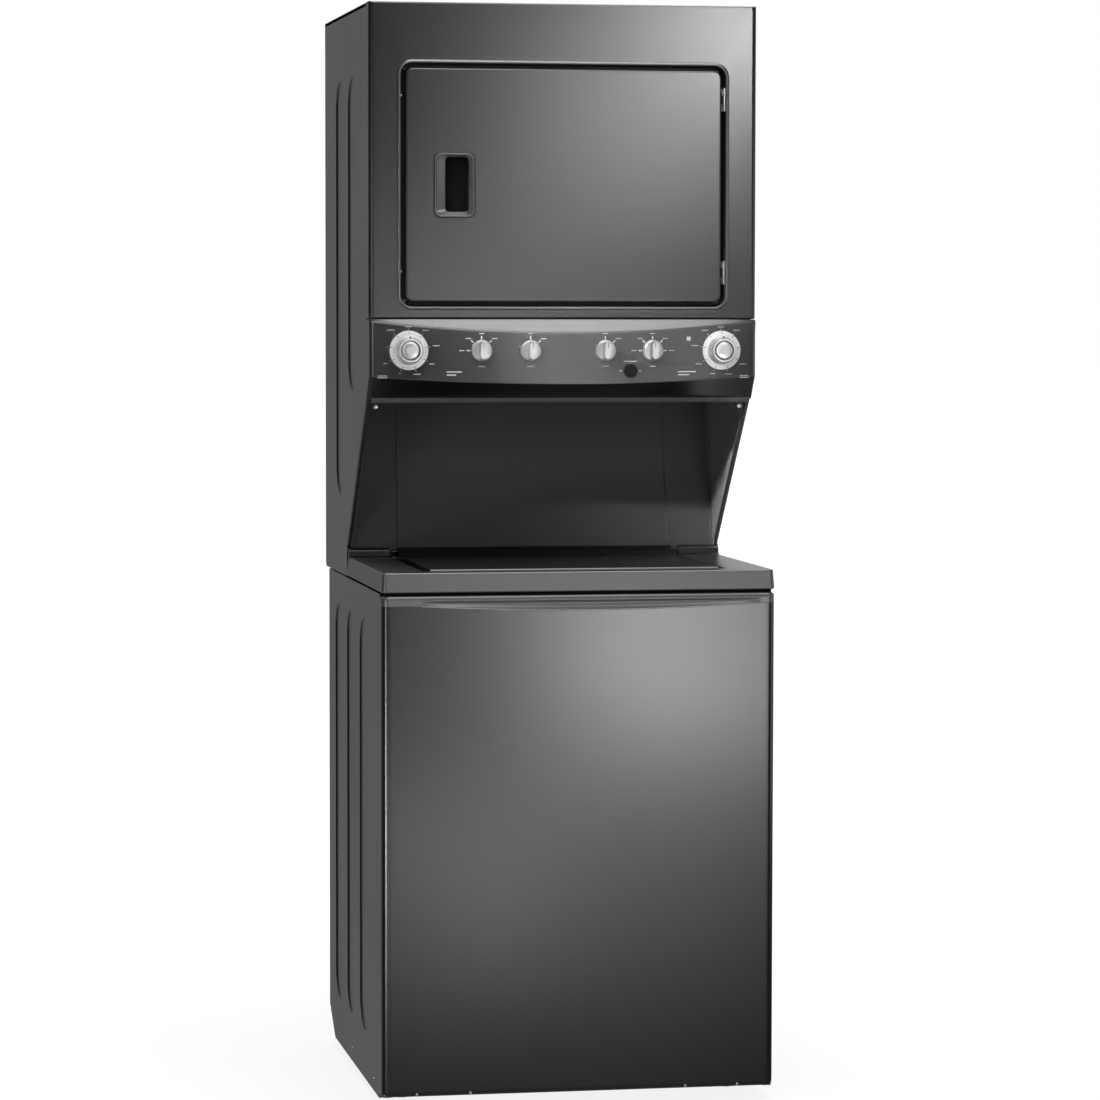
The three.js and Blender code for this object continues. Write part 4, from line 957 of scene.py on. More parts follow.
def console_bezel():
    """One moulded skin: bright top band, upright face, rolled hem, and the underside to the lip, painted
    darker below the hem as painted shade.
    """
    b = bow.box
    back_top = b.y0 + 39.5
    end_r = 7.0
    edge = b.x1
    xs = [edge - end_r * (1 - math.sin(math.radians(a))) for a in range(0, 91, 10)]
    xs = sorted({round(x, 3) for x in xs} | {-round(x, 3) for x in xs})
    count = 96
    inner = edge - end_r
    xs += [lerp(-inner, inner, i / count) for i in range(count + 1)]
    xs = sorted(set(xs))
    rings = []
    for x in xs:
        over = max(0.0, abs(x) - inner) / end_r
        back = end_r * (1 - math.sqrt(max(0.0, 1 - over * over)))
        y, band, hem = bow.face(x) + back, bow.band(x), bow.hem(x)
        crown = min(back_top, y + 15 * bow.at(x) + 1.5)
        section = [(b.y1, bow.top - 0.2), (back_top, bow.top), (crown, bow.top), (y + 1.7, band - 1.2),
                   (y, band - 5), (y, lerp(band - 5, hem, 0.5)), (y, hem),
                   (b.y1 - 0.2, b.z0 + 2.4), (b.y1, b.z0)]
        section[2:] = soften(section[2:], 2.2, 4)
        rings.append([(x, py, pz) for py, pz in section])
    f = Form()
    f.skin(rings, closed=False)
    for side in (0, -1):
        ring = [v for v in f.bm.verts if abs(v.co.x - xs[side]) < 0.001]
        ring.sort(key=lambda v: math.atan2(v.co.z - 1290, v.co.y + 225))
        f.face(ring)
    boss = 35.0
    for x in (-DIAL_X, DIAL_X):
        front = bow.face(abs(x) - boss + 1)
        profile = soften([(boss, front + 12), (boss, front), (POLE, front)], 1.2, 4)
        f.lathe(profile, (x, CONTROL_Z), "y", 72)
    for box in SELECTORS.values():
        front = bow.face(box.cx) - 2
        profile = soften([(19.4, front + 6), (19.4, front), (POLE, front)], 0.9, 4)
        f.lathe(profile, (box.cx, CONTROL_Z), "y", 48)
    shell = place("console_bezel_shell", f, CONSOLE, BODY, ["console_bezel"], sharp=34)
    # Below the hem the skin takes the darker graphite: painted shade under the console.
    paint_where(shell, UNDERSIDE_SHADE, lambda at: at.z < bow.hem(at.x) - 1.0)
    ring = Form()
    front = bow.face(PUSH.cx)
    profile = [(12.6, front + 3), (12.6, front - 0.5), (14.2, front - 0.5), (14.8, front + 3)]
    ring.turn(soften(profile, 0.4, 3), (PUSH.cx, PUSH.cz), "y", 48)
    place("rinse_button_ring", ring, CONSOLE, BODY)


def tick_turns():
    """A cycle dial has nine marks, one of them at the top."""
    return [math.radians(90 + 40 * i) for i in range(9)]


def bar(f, x, z, angle, length, width, y, height):
    """A printed or engraved bar, its middle at (x, z), lying along angle at a depth or on a surface."""
    c, s = math.cos(angle), math.sin(angle)
    corners = [(a * length / 2, b * width / 2) for a, b in ((-1, -1), (1, -1), (1, 1), (-1, 1))]
    flat = [(x + c * u - s * v, z + s * u + c * v) for u, v in corners]
    depth = y if callable(y) else lambda px: y
    f.loft([[(px, depth(px) + lift, pz) for px, pz in flat] for lift in (height, -height)])


def cycle_dials():
    """Silver skirt with nine marks, a conical grip with a pointer notch, and the start cap in it."""
    for name in ("dryer", "washer"):
        d, c = cad(f"{name}_cycle_dial"), cad(f"{name}_start_cap")
        x, z, tip = d.cx, d.cz, d.y0
        skirt = tip + 21
        f = Form()
        profile = [(POLE, tip + 14), (16.6, tip + 14), (16.6, tip + 1.2), (17.6, tip), (20.2, tip + 0.2),
                   (24.3, skirt - 1.2), (25.2, skirt + 0.1), (28.2, skirt + 0.5), (28.9, skirt + 1.2),
                   (29.6, skirt + 0.6), (33.2, skirt + 1.0), (34, skirt + 2.0), (33.6, skirt + 3.8),
                   (POLE, skirt + 3.8)]
        f.lathe(soften(profile, 0.7, 4), (x, z), "y", 96)
        dial = place(f"{name}_dial_fine", f, SKIRT, f"{name}_dial", [f"{name}_cycle_dial"])
        grip_reach = 24.8
        paint_where(dial, CHROME, lambda at: math.hypot(at.x - x, at.z - z) < grip_reach and at.y > tip + 0.3)
        marks = Form()
        for turn in tick_turns():
            r = 31.2
            bar(marks, x + r * math.cos(turn), z + r * math.sin(turn), turn, 4.0, 0.9, skirt + 0.72, 0.25)
        bar(marks, x, z + 22.6, math.pi / 2, 4.2, 1.3, tip + 12, 10.6)
        place(f"{name}_dial_marks", marks, BLACK, f"{name}_dial")
        cap = Form()
        face = c.y0
        dome = [(POLE, face), (8, face + 0.12), (13.2, face + 0.7), (14.6, face + 1.5), (15.4, face + 3),
                (15.4, c.y1), (POLE, c.y1)]
        cap.lathe(soften(dome, 1.2, 4), (x, z), "y", 72)
        place(f"{name}_cap_fine", cap, CHROME, f"{name}_start", [f"{name}_start_cap"])


def selector_knobs():
    """A domed silver disc with a tall grip bar across it."""
    for name, b in SELECTORS.items():
        x, z, tip = b.cx, CONTROL_Z, b.y0
        face = tip + 16.2
        f = Form()
        profile = [(POLE, face - 0.6), (10, face - 0.4), (15.8, face + 0.6), (17.6, face + 2),
                   (18.2, face + 4), (18.2, face + 8.6), (POLE, face + 8.6)]
        f.lathe(soften(profile, 1.0, 4), (x, z), "y", 72)
        grip = [(0, 1.0, 17.3), (0.6, 0.9, 17.2), (9, 0.7, 16.4), (14.2, 0.5, 15.4), (15.8, 0.42, 14.8),
                (16.5, 0.3, 13.6)]
        rings = []
        for rise, wide, tall in grip:
            half = 6.4 * (0.72 + 0.28 * wide)
            flat = rounded(x - half, x + half, z - tall, z + tall, half * 0.95)
            rings.append(on_y(flat, face - rise + 0.3))
        f.loft(rings)
        place(f"{name}_fine", f, CHROME, name, [name])
        line = Form()
        bar(line, x, z + 9.5, math.pi / 2, 9.5, 1.1, tip + 0.1, 0.22)
        place(f"{name}_pointer", line, BLACK, name)


def push_button():
    f = Form()
    front = PUSH.y0
    profile = [(POLE, front + 0.5), (6, front + 0.35), (10.4, front), (12.0, front + 0.8), (12.2, front + 2),
               (12.2, PUSH.y1 - 4), (POLE, PUSH.y1 - 4)]
    f.lathe(soften(profile, 1.0, 4), (PUSH.cx, PUSH.cz), "y", 64)
    place("rinse_button_fine", f, BUTTON, "extra_rinse_button", ["extra_rinse_button"])


def label(f, x, z, widths, gap=3.4, thick=1.1):
    """A printed label without words: one short rule for each of its lines."""
    for row, width in enumerate(widths):
        bar(f, x, z - row * gap, 0, width, thick, bow.face, 0.2)


def console_marks():
    """White printing: setting marks and plain rules where the labels are."""
    f = Form()
    dial_labels = {-1: (11, 13, 12, 7, 4, 12, 9, 12, 11), 1: (11, 12, 13, 11, 10, 14, 13, 12, 12)}
    for side, widths in dial_labels.items():
        for turn, width in zip(tick_turns(), widths):
            c, s = math.cos(turn), math.sin(turn)
            bar(f, side * DIAL_X + 36.6 * c, CONTROL_Z + 36.6 * s, turn, 3.0, 0.8, bow.face, 0.2)
            reach = 41 + abs(c) * (width / 2 + 1.5)
            if abs(side * DIAL_X + reach * c) + width / 2 < 330:
                label(f, side * DIAL_X + reach * c, CONTROL_Z + reach * s, (width,))
        label(f, side * (DIAL_X + 44), CONTROL_Z - 44, (16, 17))
    settings = {
        "dryer_heat_knob": (180, 135, 90, 45),
        "dryer_signal_knob": (90, 45),
        "washer_softener_knob": (90, 45),
        "washer_temperature_knob": (180, 135, 90, 45, 0),
    }
    for name, turns in settings.items():
        x = SELECTORS[name].cx
        for degrees in turns:
            turn = math.radians(degrees)
            c, s = math.cos(turn), math.sin(turn)
            bar(f, x + 22.2 * c, CONTROL_Z + 22.2 * s, turn, 6.4, 2.1, bow.face, 0.25)
            label(f, x + (29 + 5 * abs(c)) * c, CONTROL_Z + 29.5 * s, (9,))
        label(f, x, CONTROL_Z - 27.5, (12,))
    for x, width in ((-198, 26), (214, 33)):
        for row, share in enumerate((1.0, 0.62)):
            left = x - width * (1 - share) / 2
            bar(f, left, CONTROL_Z - 37 - 5.2 * row, 0, width * share, 1.7, bow.face, 0.2)
    label(f, PUSH.cx, PUSH.cz + 16.5, (24,))
    icon_x = max(box.cx for box in SELECTORS.values()) + 66
    bar(f, icon_x, CONTROL_Z + 20.5, 0, 7, 7, bow.face, 0.2)
    for side in (-1, 1):
        bar(f, PUSH.cx + side * 17.5, PUSH.cz, 0, 4.5, 1.0, bow.face, 0.2)
    place("console_printing", f, INK, BODY)


console_bezel()
cycle_dials()
selector_knobs()
push_button()
console_marks()


# ---------------------------------------------------------------- washer works
CORNERS = ("front_left", "front_right", "rear_left", "rear_right")


def radial(centre, angle, out, across=0.0):
    """The point this far out along a ray from the centre, and this far to the ray's side."""
    return (centre[0] + out * math.cos(angle) - across * math.sin(angle),
            centre[1] + out * math.sin(angle) + across * math.cos(angle))


def pierced(f, spot, v0, v1, around, rows, hole, radius=None):
    """Cells round an axis, each with a round hole. spot(angle, v) is a point of the surface.

    v is the place along a wall of this radius, or without one the distance from the axis.
    """
    for row in range(rows):
        low, high = lerp(v0, v1, row / rows), lerp(v0, v1, (row + 1) / rows)
        vm = (low + high) / 2
        reach = radius or vm
        for cell in range(around):
            a0, a1 = ((cell + k + 0.5 * (row % 2)) * 2 * math.pi / around for k in (0, 1))
            am = (a0 + a1) / 2
            corners = [(a0, low), (am, low), (a1, low), (a1, vm),
                       (a1, high), (am, high), (a0, high), (a0, vm)]
            rim = []
            for a, v in corners:
                da, dv = (a - am) * reach, v - vm
                size = math.hypot(da, dv)
                rim.append(spot(am + da / size * hole / reach, vm + dv / size * hole))
            f.band(f.ring([spot(a, v) for a, v in corners]), f.ring(rim))


def wash_basket():
    """Stainless basket: pierced wall, dished bottom with pressed ribs, rolled upper edge."""
    b = cad("wash_basket")
    r, low, top, centre = b.x1, b.z0, b.z1, (0, b.cy)
    wall, bead, count = r - 0.8, r - 2.6, 128
    f = Form()
    dish = [(16, low + 0.8), (60, low + 0.8), (70, low + 2.4), (150, low + 2.4), (160, low + 0.8),
            (r - 22, low + 0.8), (r - 8, low + 7), (r - 2, low + 16), (wall, low + 24)]
    f.turn(soften(dish, 2.0, 3), centre, "z", count)
    pierced(f, lambda a, z: (*radial(centre, a, wall), z), low + 60, top - 60, 64, 20, 2.4, wall)
    beaded = [(wall, 0), (wall, 0.3), (bead, 0.45), (bead, 0.6), (wall, 0.75), (wall, 1)]
    for z0, z1 in ((low + 24, low + 60), (top - 60, top - 22)):
        f.turn([(q, lerp(z0, z1, t)) for q, t in beaded], centre, "z", count)
    rim = [(wall, top - 22), (wall, top - 3), (r - 1.4, top - 1), (r - 3, top - 0.2), (r - 5, top - 1)]
    f.turn(rim, centre, "z", count)
    place("wash_basket_shell", f, STAINLESS, "basket", ["wash_basket"], THIN_SHEET,
          sharp=50)


def balance_ring():
    """The hollow ring on top of the basket."""
    b = cad("balance_ring")
    inner, outer, low, high = 206, b.x1, b.z0, b.z1
    profile = [(inner + 1, low), (outer - 1, low), (outer, low + 3), (outer, high - 8),
               (outer - 5, high - 1.5), (inner + 10, high), (inner + 2, high - 3), (inner, high - 8)]
    f = Form()
    f.hoop(soften(profile, 2.0, 3, closed=True), (b.cx, b.cy))
    place("balance_ring_fine", f, WHITE, "basket", ["balance_ring"], sharp=40)


def agitator():
    """Post with a domed cap, a flared skirt, four full-height vanes and four low ones."""
    b = cad("agitator")
    foot = 246  # the skirt's lower edge, as every height here, lies this far above the washer panel's
    z = lambda up: b.z0 + up - foot
    post = [(15, foot), (148, foot), (152, 250), (150, 253.5), (120, 259.5), (96, 268), (74, 283), (58, 302),
            (49, 330), (44, 362), (41, 450), (38, 696), (42, 706), (51, 713), (52.5, 720), (52.5, 738),
            (50, 745), (36, 752), (18, 755.3), (POLE, 756)]
    f = Form()
    f.turn(soften([(r, z(up)) for r, up in post], 2.5, 3), (0, b.cy), "z", 96)
    tall = [(140, 252.5), (134, 262), (118, 300), (96, 356), (78, 420), (68, 520), (58, 636), (48, 652),
            (36, 658)]
    short = [(146, 252.5), (138, 266), (122, 281), (104, 289), (84, 296), (60, 312), (44, 330)]
    for edge, half, start in ((tall, 4.0, 0), (short, 2.6, math.pi / 4)):
        for turn in range(4):
            angle = turn * math.pi / 2 + start
            rings = []
            for r, up in soften(edge, 6, 3):
                section = [(8, -half), (r - 3, -half * 0.8), (r - 0.8, -half * 0.55), (r, 0),
                           (r - 0.8, half * 0.55), (r - 3, half * 0.8), (8, half)]
                rings.append(on_z([radial((0, b.cy), angle, *p) for p in section], z(up)))
            f.loft(rings)
    place("agitator_fine", f, BLACK, "agitator", ["agitator"], sharp=40)


def outer_tub():
    """The tub with three hoops, and an ear with a cup for each suspension rod."""
    top, cover = cad("outer_tub").z1, cad("tub_cover")
    cy, r, low = cover.cy, cover.x1 - 5, top - 585
    wall = 3
    profile = [(22, low), (90, low), (r - 14, low + 0.5), (r - 3, low + 6), (r, low + 16), (r, top - 16),
               (r, top), (r - wall, top), (r - wall, low + 15), (r - 15, low + wall), (22, low + wall)]
    f = Form()
    f.hoop(soften(profile, 1.0, 3, closed=True), (0, cy))
    for up in (low + 150, low + 300, low + 450):
        rib = [(r - 0.5, up - 3), (r + 3, up - 2), (r + 3, up + 2), (r - 0.5, up + 3)]
        f.hoop(soften(rib, 0.8, 2, closed=True), (0, cy))
    level = low + 85
    faces = (level, level + 8)
    cup = [(15.2, level - 0.2), (15.2, level - 52), (16, level - 54), (18, level - 54), (18, level - 0.2)]
    for corner in CORNERS:
        rod = cad(f"suspension_rod_{corner}")
        angle = math.atan2(rod.cy - cy, rod.cx)
        far = math.hypot(rod.cx, rod.cy - cy) + 20
        half = [(r - 2, 24), (r + 40, 22), (far - 6, 20), (far, 12)]
        ear = [radial((0, cy), angle, *p) for p in [(out, -side) for out, side in half] + half[::-1]]
        outer = f.skin([on_z(ear, z) for z in faces])
        inner = f.skin([on_z(circle(rod.cx, rod.cy, 5.2, 24), z) for z in faces])
        for edge, hole in zip(outer, inner):
            f.fill(edge, hole)
        f.turn(soften(cup, 0.8, 2), (rod.cx, rod.cy), "z", 32)
    place("outer_tub_fine", f, WHITE, "tub", ["outer_tub"], sharp=40)


def tub_cover():
    """The tub's cover, with its ribs."""
    b = cad("tub_cover")
    cy, r, low, top = b.cy, b.x1 - 5, b.z0, b.z1
    profile = [(204, top - 8.6), (212, top - 7.6), (r - 6, low + 3.2), (r - 4, low), (r + 5, low),
               (r + 5, low + 8), (r - 2, low + 10), (213, top - 0.6), (206, top), (204, top - 1.5)]
    f = Form()
    f.hoop(soften(profile, 1.0, 3, closed=True), (0, cy))
    count = 24
    for turn in range(count):
        angle = turn * math.pi / (count / 2)
        section = [(-1.4, -3), (1.4, -3), (1.1, 0), (-1.1, 0)]
        spine = [(214, top - 1.0), (218, top + 0.6), (r - 8, low + 12.4), (r - 4, low + 9)]
        f.loft([[(*radial((0, cy), angle, q, side), z + up) for side, up in section] for q, z in spine])
    place("tub_cover_fine", f, WHITE, "tub", ["tub_cover"], sharp=40)


def levelling_legs():
    """Rubber foot, hexagon and thread."""
    pitch = 1.75
    for corner in CORNERS:
        b = cad(f"leveling_leg_{corner}")
        x, y, low, top = b.cx, b.cy, b.z0, b.z1
        foot = [(POLE, low), (19, low), (21, low + 0.8), (23, low + 3), (23, low + 8), (21.5, low + 10),
                (15, low + 13), (12, low + 15.5), (POLE, low + 15.5)]
        pad = Form()
        pad.lathe(soften(foot, 1.0, 3), (x, y), "z", 64)
        place(f"leg_pad_{corner}", pad, RUBBER, BODY, [f"leveling_leg_{corner}"])
        steel = Form()
        hexagon = soften(circle(x, y, 12.6, 6), 0.6, 2, closed=True)
        for z0, z1 in ((low + 15.2, low + 21), (low + 33, low + 33 + 7)):
            steel.loft([on_z([(x + (px - x) * k, y + (py - y) * k) for px, py in hexagon], z)
                        for k, z in ((0.93, z0), (1, z0 + 0.9), (1, z1 - 0.9), (0.93, z1))])
        thread = [(POLE, low + 16)]
        for i in range(int((top - low - 18) / pitch)):
            z = low + 17 + i * pitch
            thread += [(5.1, z), (6.0, z + 0.87)]
        thread += [(5.0, top - 1), (4.2, top), (POLE, top)]
        steel.lathe(thread, (x, y), "z", 28)
        place(f"leg_stem_{corner}", steel, HINGE, BODY, sharp=30)


def inlet_valve():
    """Two threaded hose ports on a moulded block."""
    b = cad("water_inlet_valve")
    face = b.y1 - 37
    f = Form()
    f.block(b.x0, b.x1, b.y0, face, b.z0, b.z1, 2.0, 3)
    for x in (b.cx - 16, b.cx + 16):
        flange = [(13.8, face - 1), (13.8, face + 2.2), (11.4, face + 3.6)]
        thread = []
        for i in range(9):
            y = face + 5 + i * 3.0
            thread += [(10.7, y), (10.7, y + 0.5), (12.0, y + 1.3), (12.0, y + 1.9), (10.7, y + 2.7)]
        end = [(10.7, b.y1 - 1.0), (10.0, b.y1), (8.4, b.y1), (8, b.y1 - 1), (8, face + 8), (POLE, face + 8)]
        f.lathe(soften(flange, 0.5, 2) + thread + end, (x, b.cz), "y", 40)
    place("inlet_valve_fine", f, WHITE, BODY, ["water_inlet_valve"], sharp=35)


def dress(node, paint):
    """A CAD node keeps its shape and gets its finish, soft shading and slightly broken edges."""
    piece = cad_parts[node]
    piece.data.materials.clear()
    piece.data.materials.append(paint)
    for p in piece.data.polygons:
        p.use_smooth = True
    piece.data.set_sharp_from_angle(angle=math.radians(32))
    bevelled(piece, "broken edges", 0.5, 2, 40)


wash_basket()
balance_ring()
agitator()
outer_tub()
tub_cover()
levelling_legs()
inlet_valve()
for corner in CORNERS:
    dress(f"suspension_rod_{corner}", ZINC)
for paint, nodes in (
    (ZINC, "base_frame dryer_floor rear_bulkhead front_bulkhead blower_housing heater_box control_chassis"),
    (CAST_IRON, "spin_shaft washer_motor washer_motor_pulley dryer_motor motor_shaft"),
    (CAST_ALUMINIUM, "gearcase washer_pulley"),
    (RUBBER, "washer_belt drum_belt"),
    (WHITE, "drain_pump"),
    (BLACK, "blower_wheel"),
):
    for node in nodes.split():
        dress(node, paint)


# ---------------------------------------------------------------- dryer works
DUCT_RADIUS = 50.8


def dryer_drum():
    """Galvanised drum: beaded wall, rolled front lip, dished and pierced back, three baffles."""
    b = cad("dryer_drum")
    centre, r, count = (0.0, b.cz), b.x1, 128
    front, back = b.y0, b.y1 - 21
    wall = [(257, front + 3), (257, front + 0.6), (258.5, front), (r - 3, front), (r - 0.6, front + 1.4),
            (r, front + 5)]
    for bead in (60, 150, 240, 330, 420):
        y = front + bead
        wall += [(r, y), (r - 2.2, y + 3), (r - 2.2, y + 7), (r, y + 10)]
    ring, hub = 232, 176
    wall += [(r, back - 24), (r - 28, back - 8), (238, back - 8), (ring, back - 12)]
    f = Form()
    f.turn(soften(wall, 1.2, 2), centre, count=count)
    pierced(f, lambda a, q: (q * math.cos(a), back - 12, b.cz + q * math.sin(a)), ring, hub, 60, 4, 3.6)
    dish = [(hub, back - 12), (168, back - 12), (160, back - 8), (90, back - 8), (80, back - 12),
            (40, back - 12), (34, back - 16), (POLE, back - 16)]
    f.turn(soften(dish, 2.0, 2), centre, count=count)
    place("dryer_drum_shell", f, ZINC, "dryer_drum", ["dryer_drum"], THIN_SHEET, sharp=50)

    shaft = Form()
    profile = [(POLE, back - 7), (40, back - 7), (40, back), (8, back), (8, b.y1), (POLE, b.y1)]
    shaft.lathe(soften(profile, 0.8, 2), centre, count=48)
    place("drum_shaft", shaft, CAST_IRON, "dryer_drum")

    baffles = Form()
    section = [(-33, r - 4), (-20, r - 14), (-9, r - 52), (0, r - 61), (9, r - 52), (20, r - 14), (33, r - 4)]
    spine = [(458, 0.25), (455, 0.6), (446, 0.85), (430, 1), (90, 1), (76, 0.85), (64, 0.5), (60, 0.25)]
    for turn in range(3):
        angle = math.radians(-90 + 120 * turn)
        rings = []
        for ahead, k in spine:
            flat = [radial(centre, angle, r - 4 - (r - 4 - q) * k, s * (0.7 + 0.3 * k))
                    for s, q in soften(section, 7, 4)]
            rings.append(on_y(flat, back - ahead))
        baffles.loft(rings)
    place("drum_baffles", baffles, WHITE, "dryer_drum", sharp=45)


def bulkhead_seal():
    """Felt ring between the front bulkhead's collar and the drum's mouth."""
    drum = cad("dryer_drum")
    y = drum.y0
    f = Form()
    ring = [(253.3, y - 6), (256.0, y - 5), (256.4, y + 6), (255.6, y + 11), (253.3, y + 12)]
    f.hoop(soften(ring, 1.0, 3, closed=True), (0, drum.cz), "y", 96)
    place("drum_felt_seal", f, FELT, BODY, sharp=60)


def lint_screen():
    """A moulded frame with two windows of fine mesh and a grip with a finger hole."""
    b = cad("lint_screen")
    y0, y1 = b.y0, b.y1
    shoulder, middle = b.z1 - 14, (b.z0 + b.z1) / 2
    outline = [(b.x1, b.z0 + 2), (b.x1, shoulder), (60, shoulder), (60, b.z1 - 4), (54, b.z1), (-54, b.z1),
               (-60, b.z1 - 4), (-60, shoulder), (b.x0, shoulder), (b.x0, b.z0 + 2), (b.x0 + 2, b.z0),
               (b.x1 - 2, b.z0)]
    windows = [(x0, x1, b.z0 + 8, shoulder - 14) for x0, x1 in ((-84, -3), (3, 84))]
    grip_hole = (-22, 22, b.z1 - 9, b.z1 - 4)
    edges = ((0.8, y0), (0, y0 + 0.8), (0, y1 - 0.8), (0.8, y1))
    shrink = lambda v, c, by: v - math.copysign(by, v - c)
    f = Form()
    ends = f.skin([on_y(soften([(shrink(px, 0, i), shrink(pz, middle, i)) for px, pz in outline],
                               1.2, 2, closed=True), y) for i, y in edges])
    openings = [f.skin(nest(w, [(-i, y, r) for i, y in ((0.6, y0), (0, y0 + 0.6), (0, y1 - 0.6), (0.6, y1))],
                            on_y, 4)) for w, r in ((windows[0], 4), (windows[1], 4), (grip_hole, 2.4))]
    for end, rims in zip(ends, zip(*openings)):
        f.fill(end, *rims)
    place("lint_screen_frame", f, WHITE, "lint_screen", ["lint_screen"], sharp=45)

    g = Form()
    y, wires, wire = (y0 + y1) / 2, 27, 0.3
    for x0, x1, z0, z1 in windows:
        for i in range(1, wires):
            x = lerp(x0, x1, i / wires)
            g.loft([on_z([(x - wire, y - wire), (x + wire, y - wire), (x + wire, y), (x - wire, y)], z)
                    for z in (z0 - 1, z1 + 1)])
        count = int((z1 - z0) / 3)
        for i in range(1, count):
            z = lerp(z0, z1, i / count)
            g.loft([on_x([(y, z - wire), (y + wire, z - wire), (y + wire, z + wire), (y, z + wire)], x)
                    for x in (x0 - 1, x1 + 1)])
    place("lint_screen_mesh", g, WHITE, "lint_screen")


def exhaust_duct():
    """Drawn duct with a bead near its crimped outlet, and the square branch from the blower."""
    b = cad("exhaust_duct")
    r, front, back = DUCT_RADIUS, b.y0, b.y1
    x, z = b.x1 - r, b.cz
    f = Form()
    outside = [(POLE, front), (r - 2, front), (r, front + 2), (r, back - 46), (r + 1.6, back - 43),
               (r + 1.6, back - 41), (r, back - 38)]
    f.turn(soften(outside, 0.8, 2), (x, z), count=96)
    crimps, count, length = 48, 192, 36
    rings = []
    for k in range(9):
        wave = 1.1 * min(1.0, k / 3)
        flat = [radial((x, z), a, r - wave * (0.5 + 0.5 * math.cos(a * crimps)))
                for a in (2 * math.pi * i / count for i in range(count))]
        rings.append(on_y(flat, back - length + length * k / 8))
    f.skin(rings)
    place("exhaust_duct_fine", f, DRAWN, BODY, ["exhaust_duct"], 0.8, sharp=60)
    branch = Form()
    square = rounded(front + 10, front + 60, z - 18, z + 44, 4, 5)
    branch.skin([on_x(square, px) for px in (b.x0, b.x0 + 1.5, x - 20, x - 12)])
    place("exhaust_branch", branch, ZINC, BODY, thick=0.8)


def dryer_back():
    """Back plate with pressed louvres, perimeter screws, the duct's hole and the terminal box."""
    b = cad("dryer_back")
    duct = cad("exhaust_duct")
    out = b.y1
    plate = out - 22 - SHEET
    f = Form()
    edge = (b.x0, b.x1, b.z0, b.z1)
    outline = f.ring(on_y(rounded(*edge, 3, 4), plate))
    f.skin(nest(edge, [(0, plate, 3), (0.4, plate - 1.1, 3)], on_y, 4))
    holes = []
    tall = 8
    for row in range(6):
        low = above(1180) + row * 22
        slot = rounded(-90, 90, low, low + tall, 2.5, 4)
        raised = [(px, pz, (pz - low) / tall) for px, pz in slot]
        hood = [(px * 0.985, plate + 4.5 * t**0.7, pz + 1.0 * t) for px, pz, t in raised]
        holes.append(f.skin([on_y(slot, plate), hood])[0])
    port = [(54.6, plate), (53.6, plate - 0.3), (53.0, plate - 1.6), (53.0, plate - 4)]
    holes.append(f.turn(port, (duct.x1 - DUCT_RADIUS, duct.cz), count=72)[0])
    for panel in ((-300, 300, above(1390), above(1790)), (-300, -130, above(1130), above(1340)),
                  (130, 300, above(1180), above(1340))):
        step = [(i, plate - d, 24 - i) for i, d in ((0, 0), (0.8, 0.25), (3, 2.4), (4, 2.7))]
        first, last = f.skin(nest(panel, step, on_y))
        f.face(last)
        holes.append(first)
    f.fill(outline, *holes)
    place("dryer_back_plate", f, ZINC, BODY, ["dryer_back"], 1.0, (0, 1, 0), 40)

    box = (-285, -205, above(960), above(1060))
    cover = Form()
    rows = [(0, plate - 0.4, 3), (0, out - 2, 3), (0.6, out - 0.6, 2.4), (2, out, 1)]
    cover.loft(nest(box, rows, on_y, 4), front_cap=False)
    place("terminal_box_cover", cover, ZINC, BODY, thick=1.0)
    gland = Form()
    z = box[2]
    profile = [(8.6, z - 0.1), (12.6, z - 0.1), (12.6, z - 2.6), (11, z - 3.4), (8.6, z - 3.4)]
    gland.hoop(soften(profile, 0.5, 2, closed=True), ((box[0] + box[1]) / 2, out - 13), "z", 48)
    place("cord_gland", gland, BLACK, BODY)

    spots = [(x, out, box[3] - 12) for x in (box[0] + 12, box[1] - 12)]
    heights = [b.z0 + 12, *(lerp(b.z0, b.z1, t) for t in (0.25, 0.5, 0.75)), b.z1 - 12]
    spots += [(x, plate, height) for height in heights for x in (b.x0 + 9, b.x1 - 9)]
    spots += [(x, plate, b.z1 - 9) for x in (-200, 0, 200)]
    screws = Form()
    for spot in spots:
        screw(screws, spot, (0, 1, 0))
    place("back_screws", screws, HINGE, BODY)


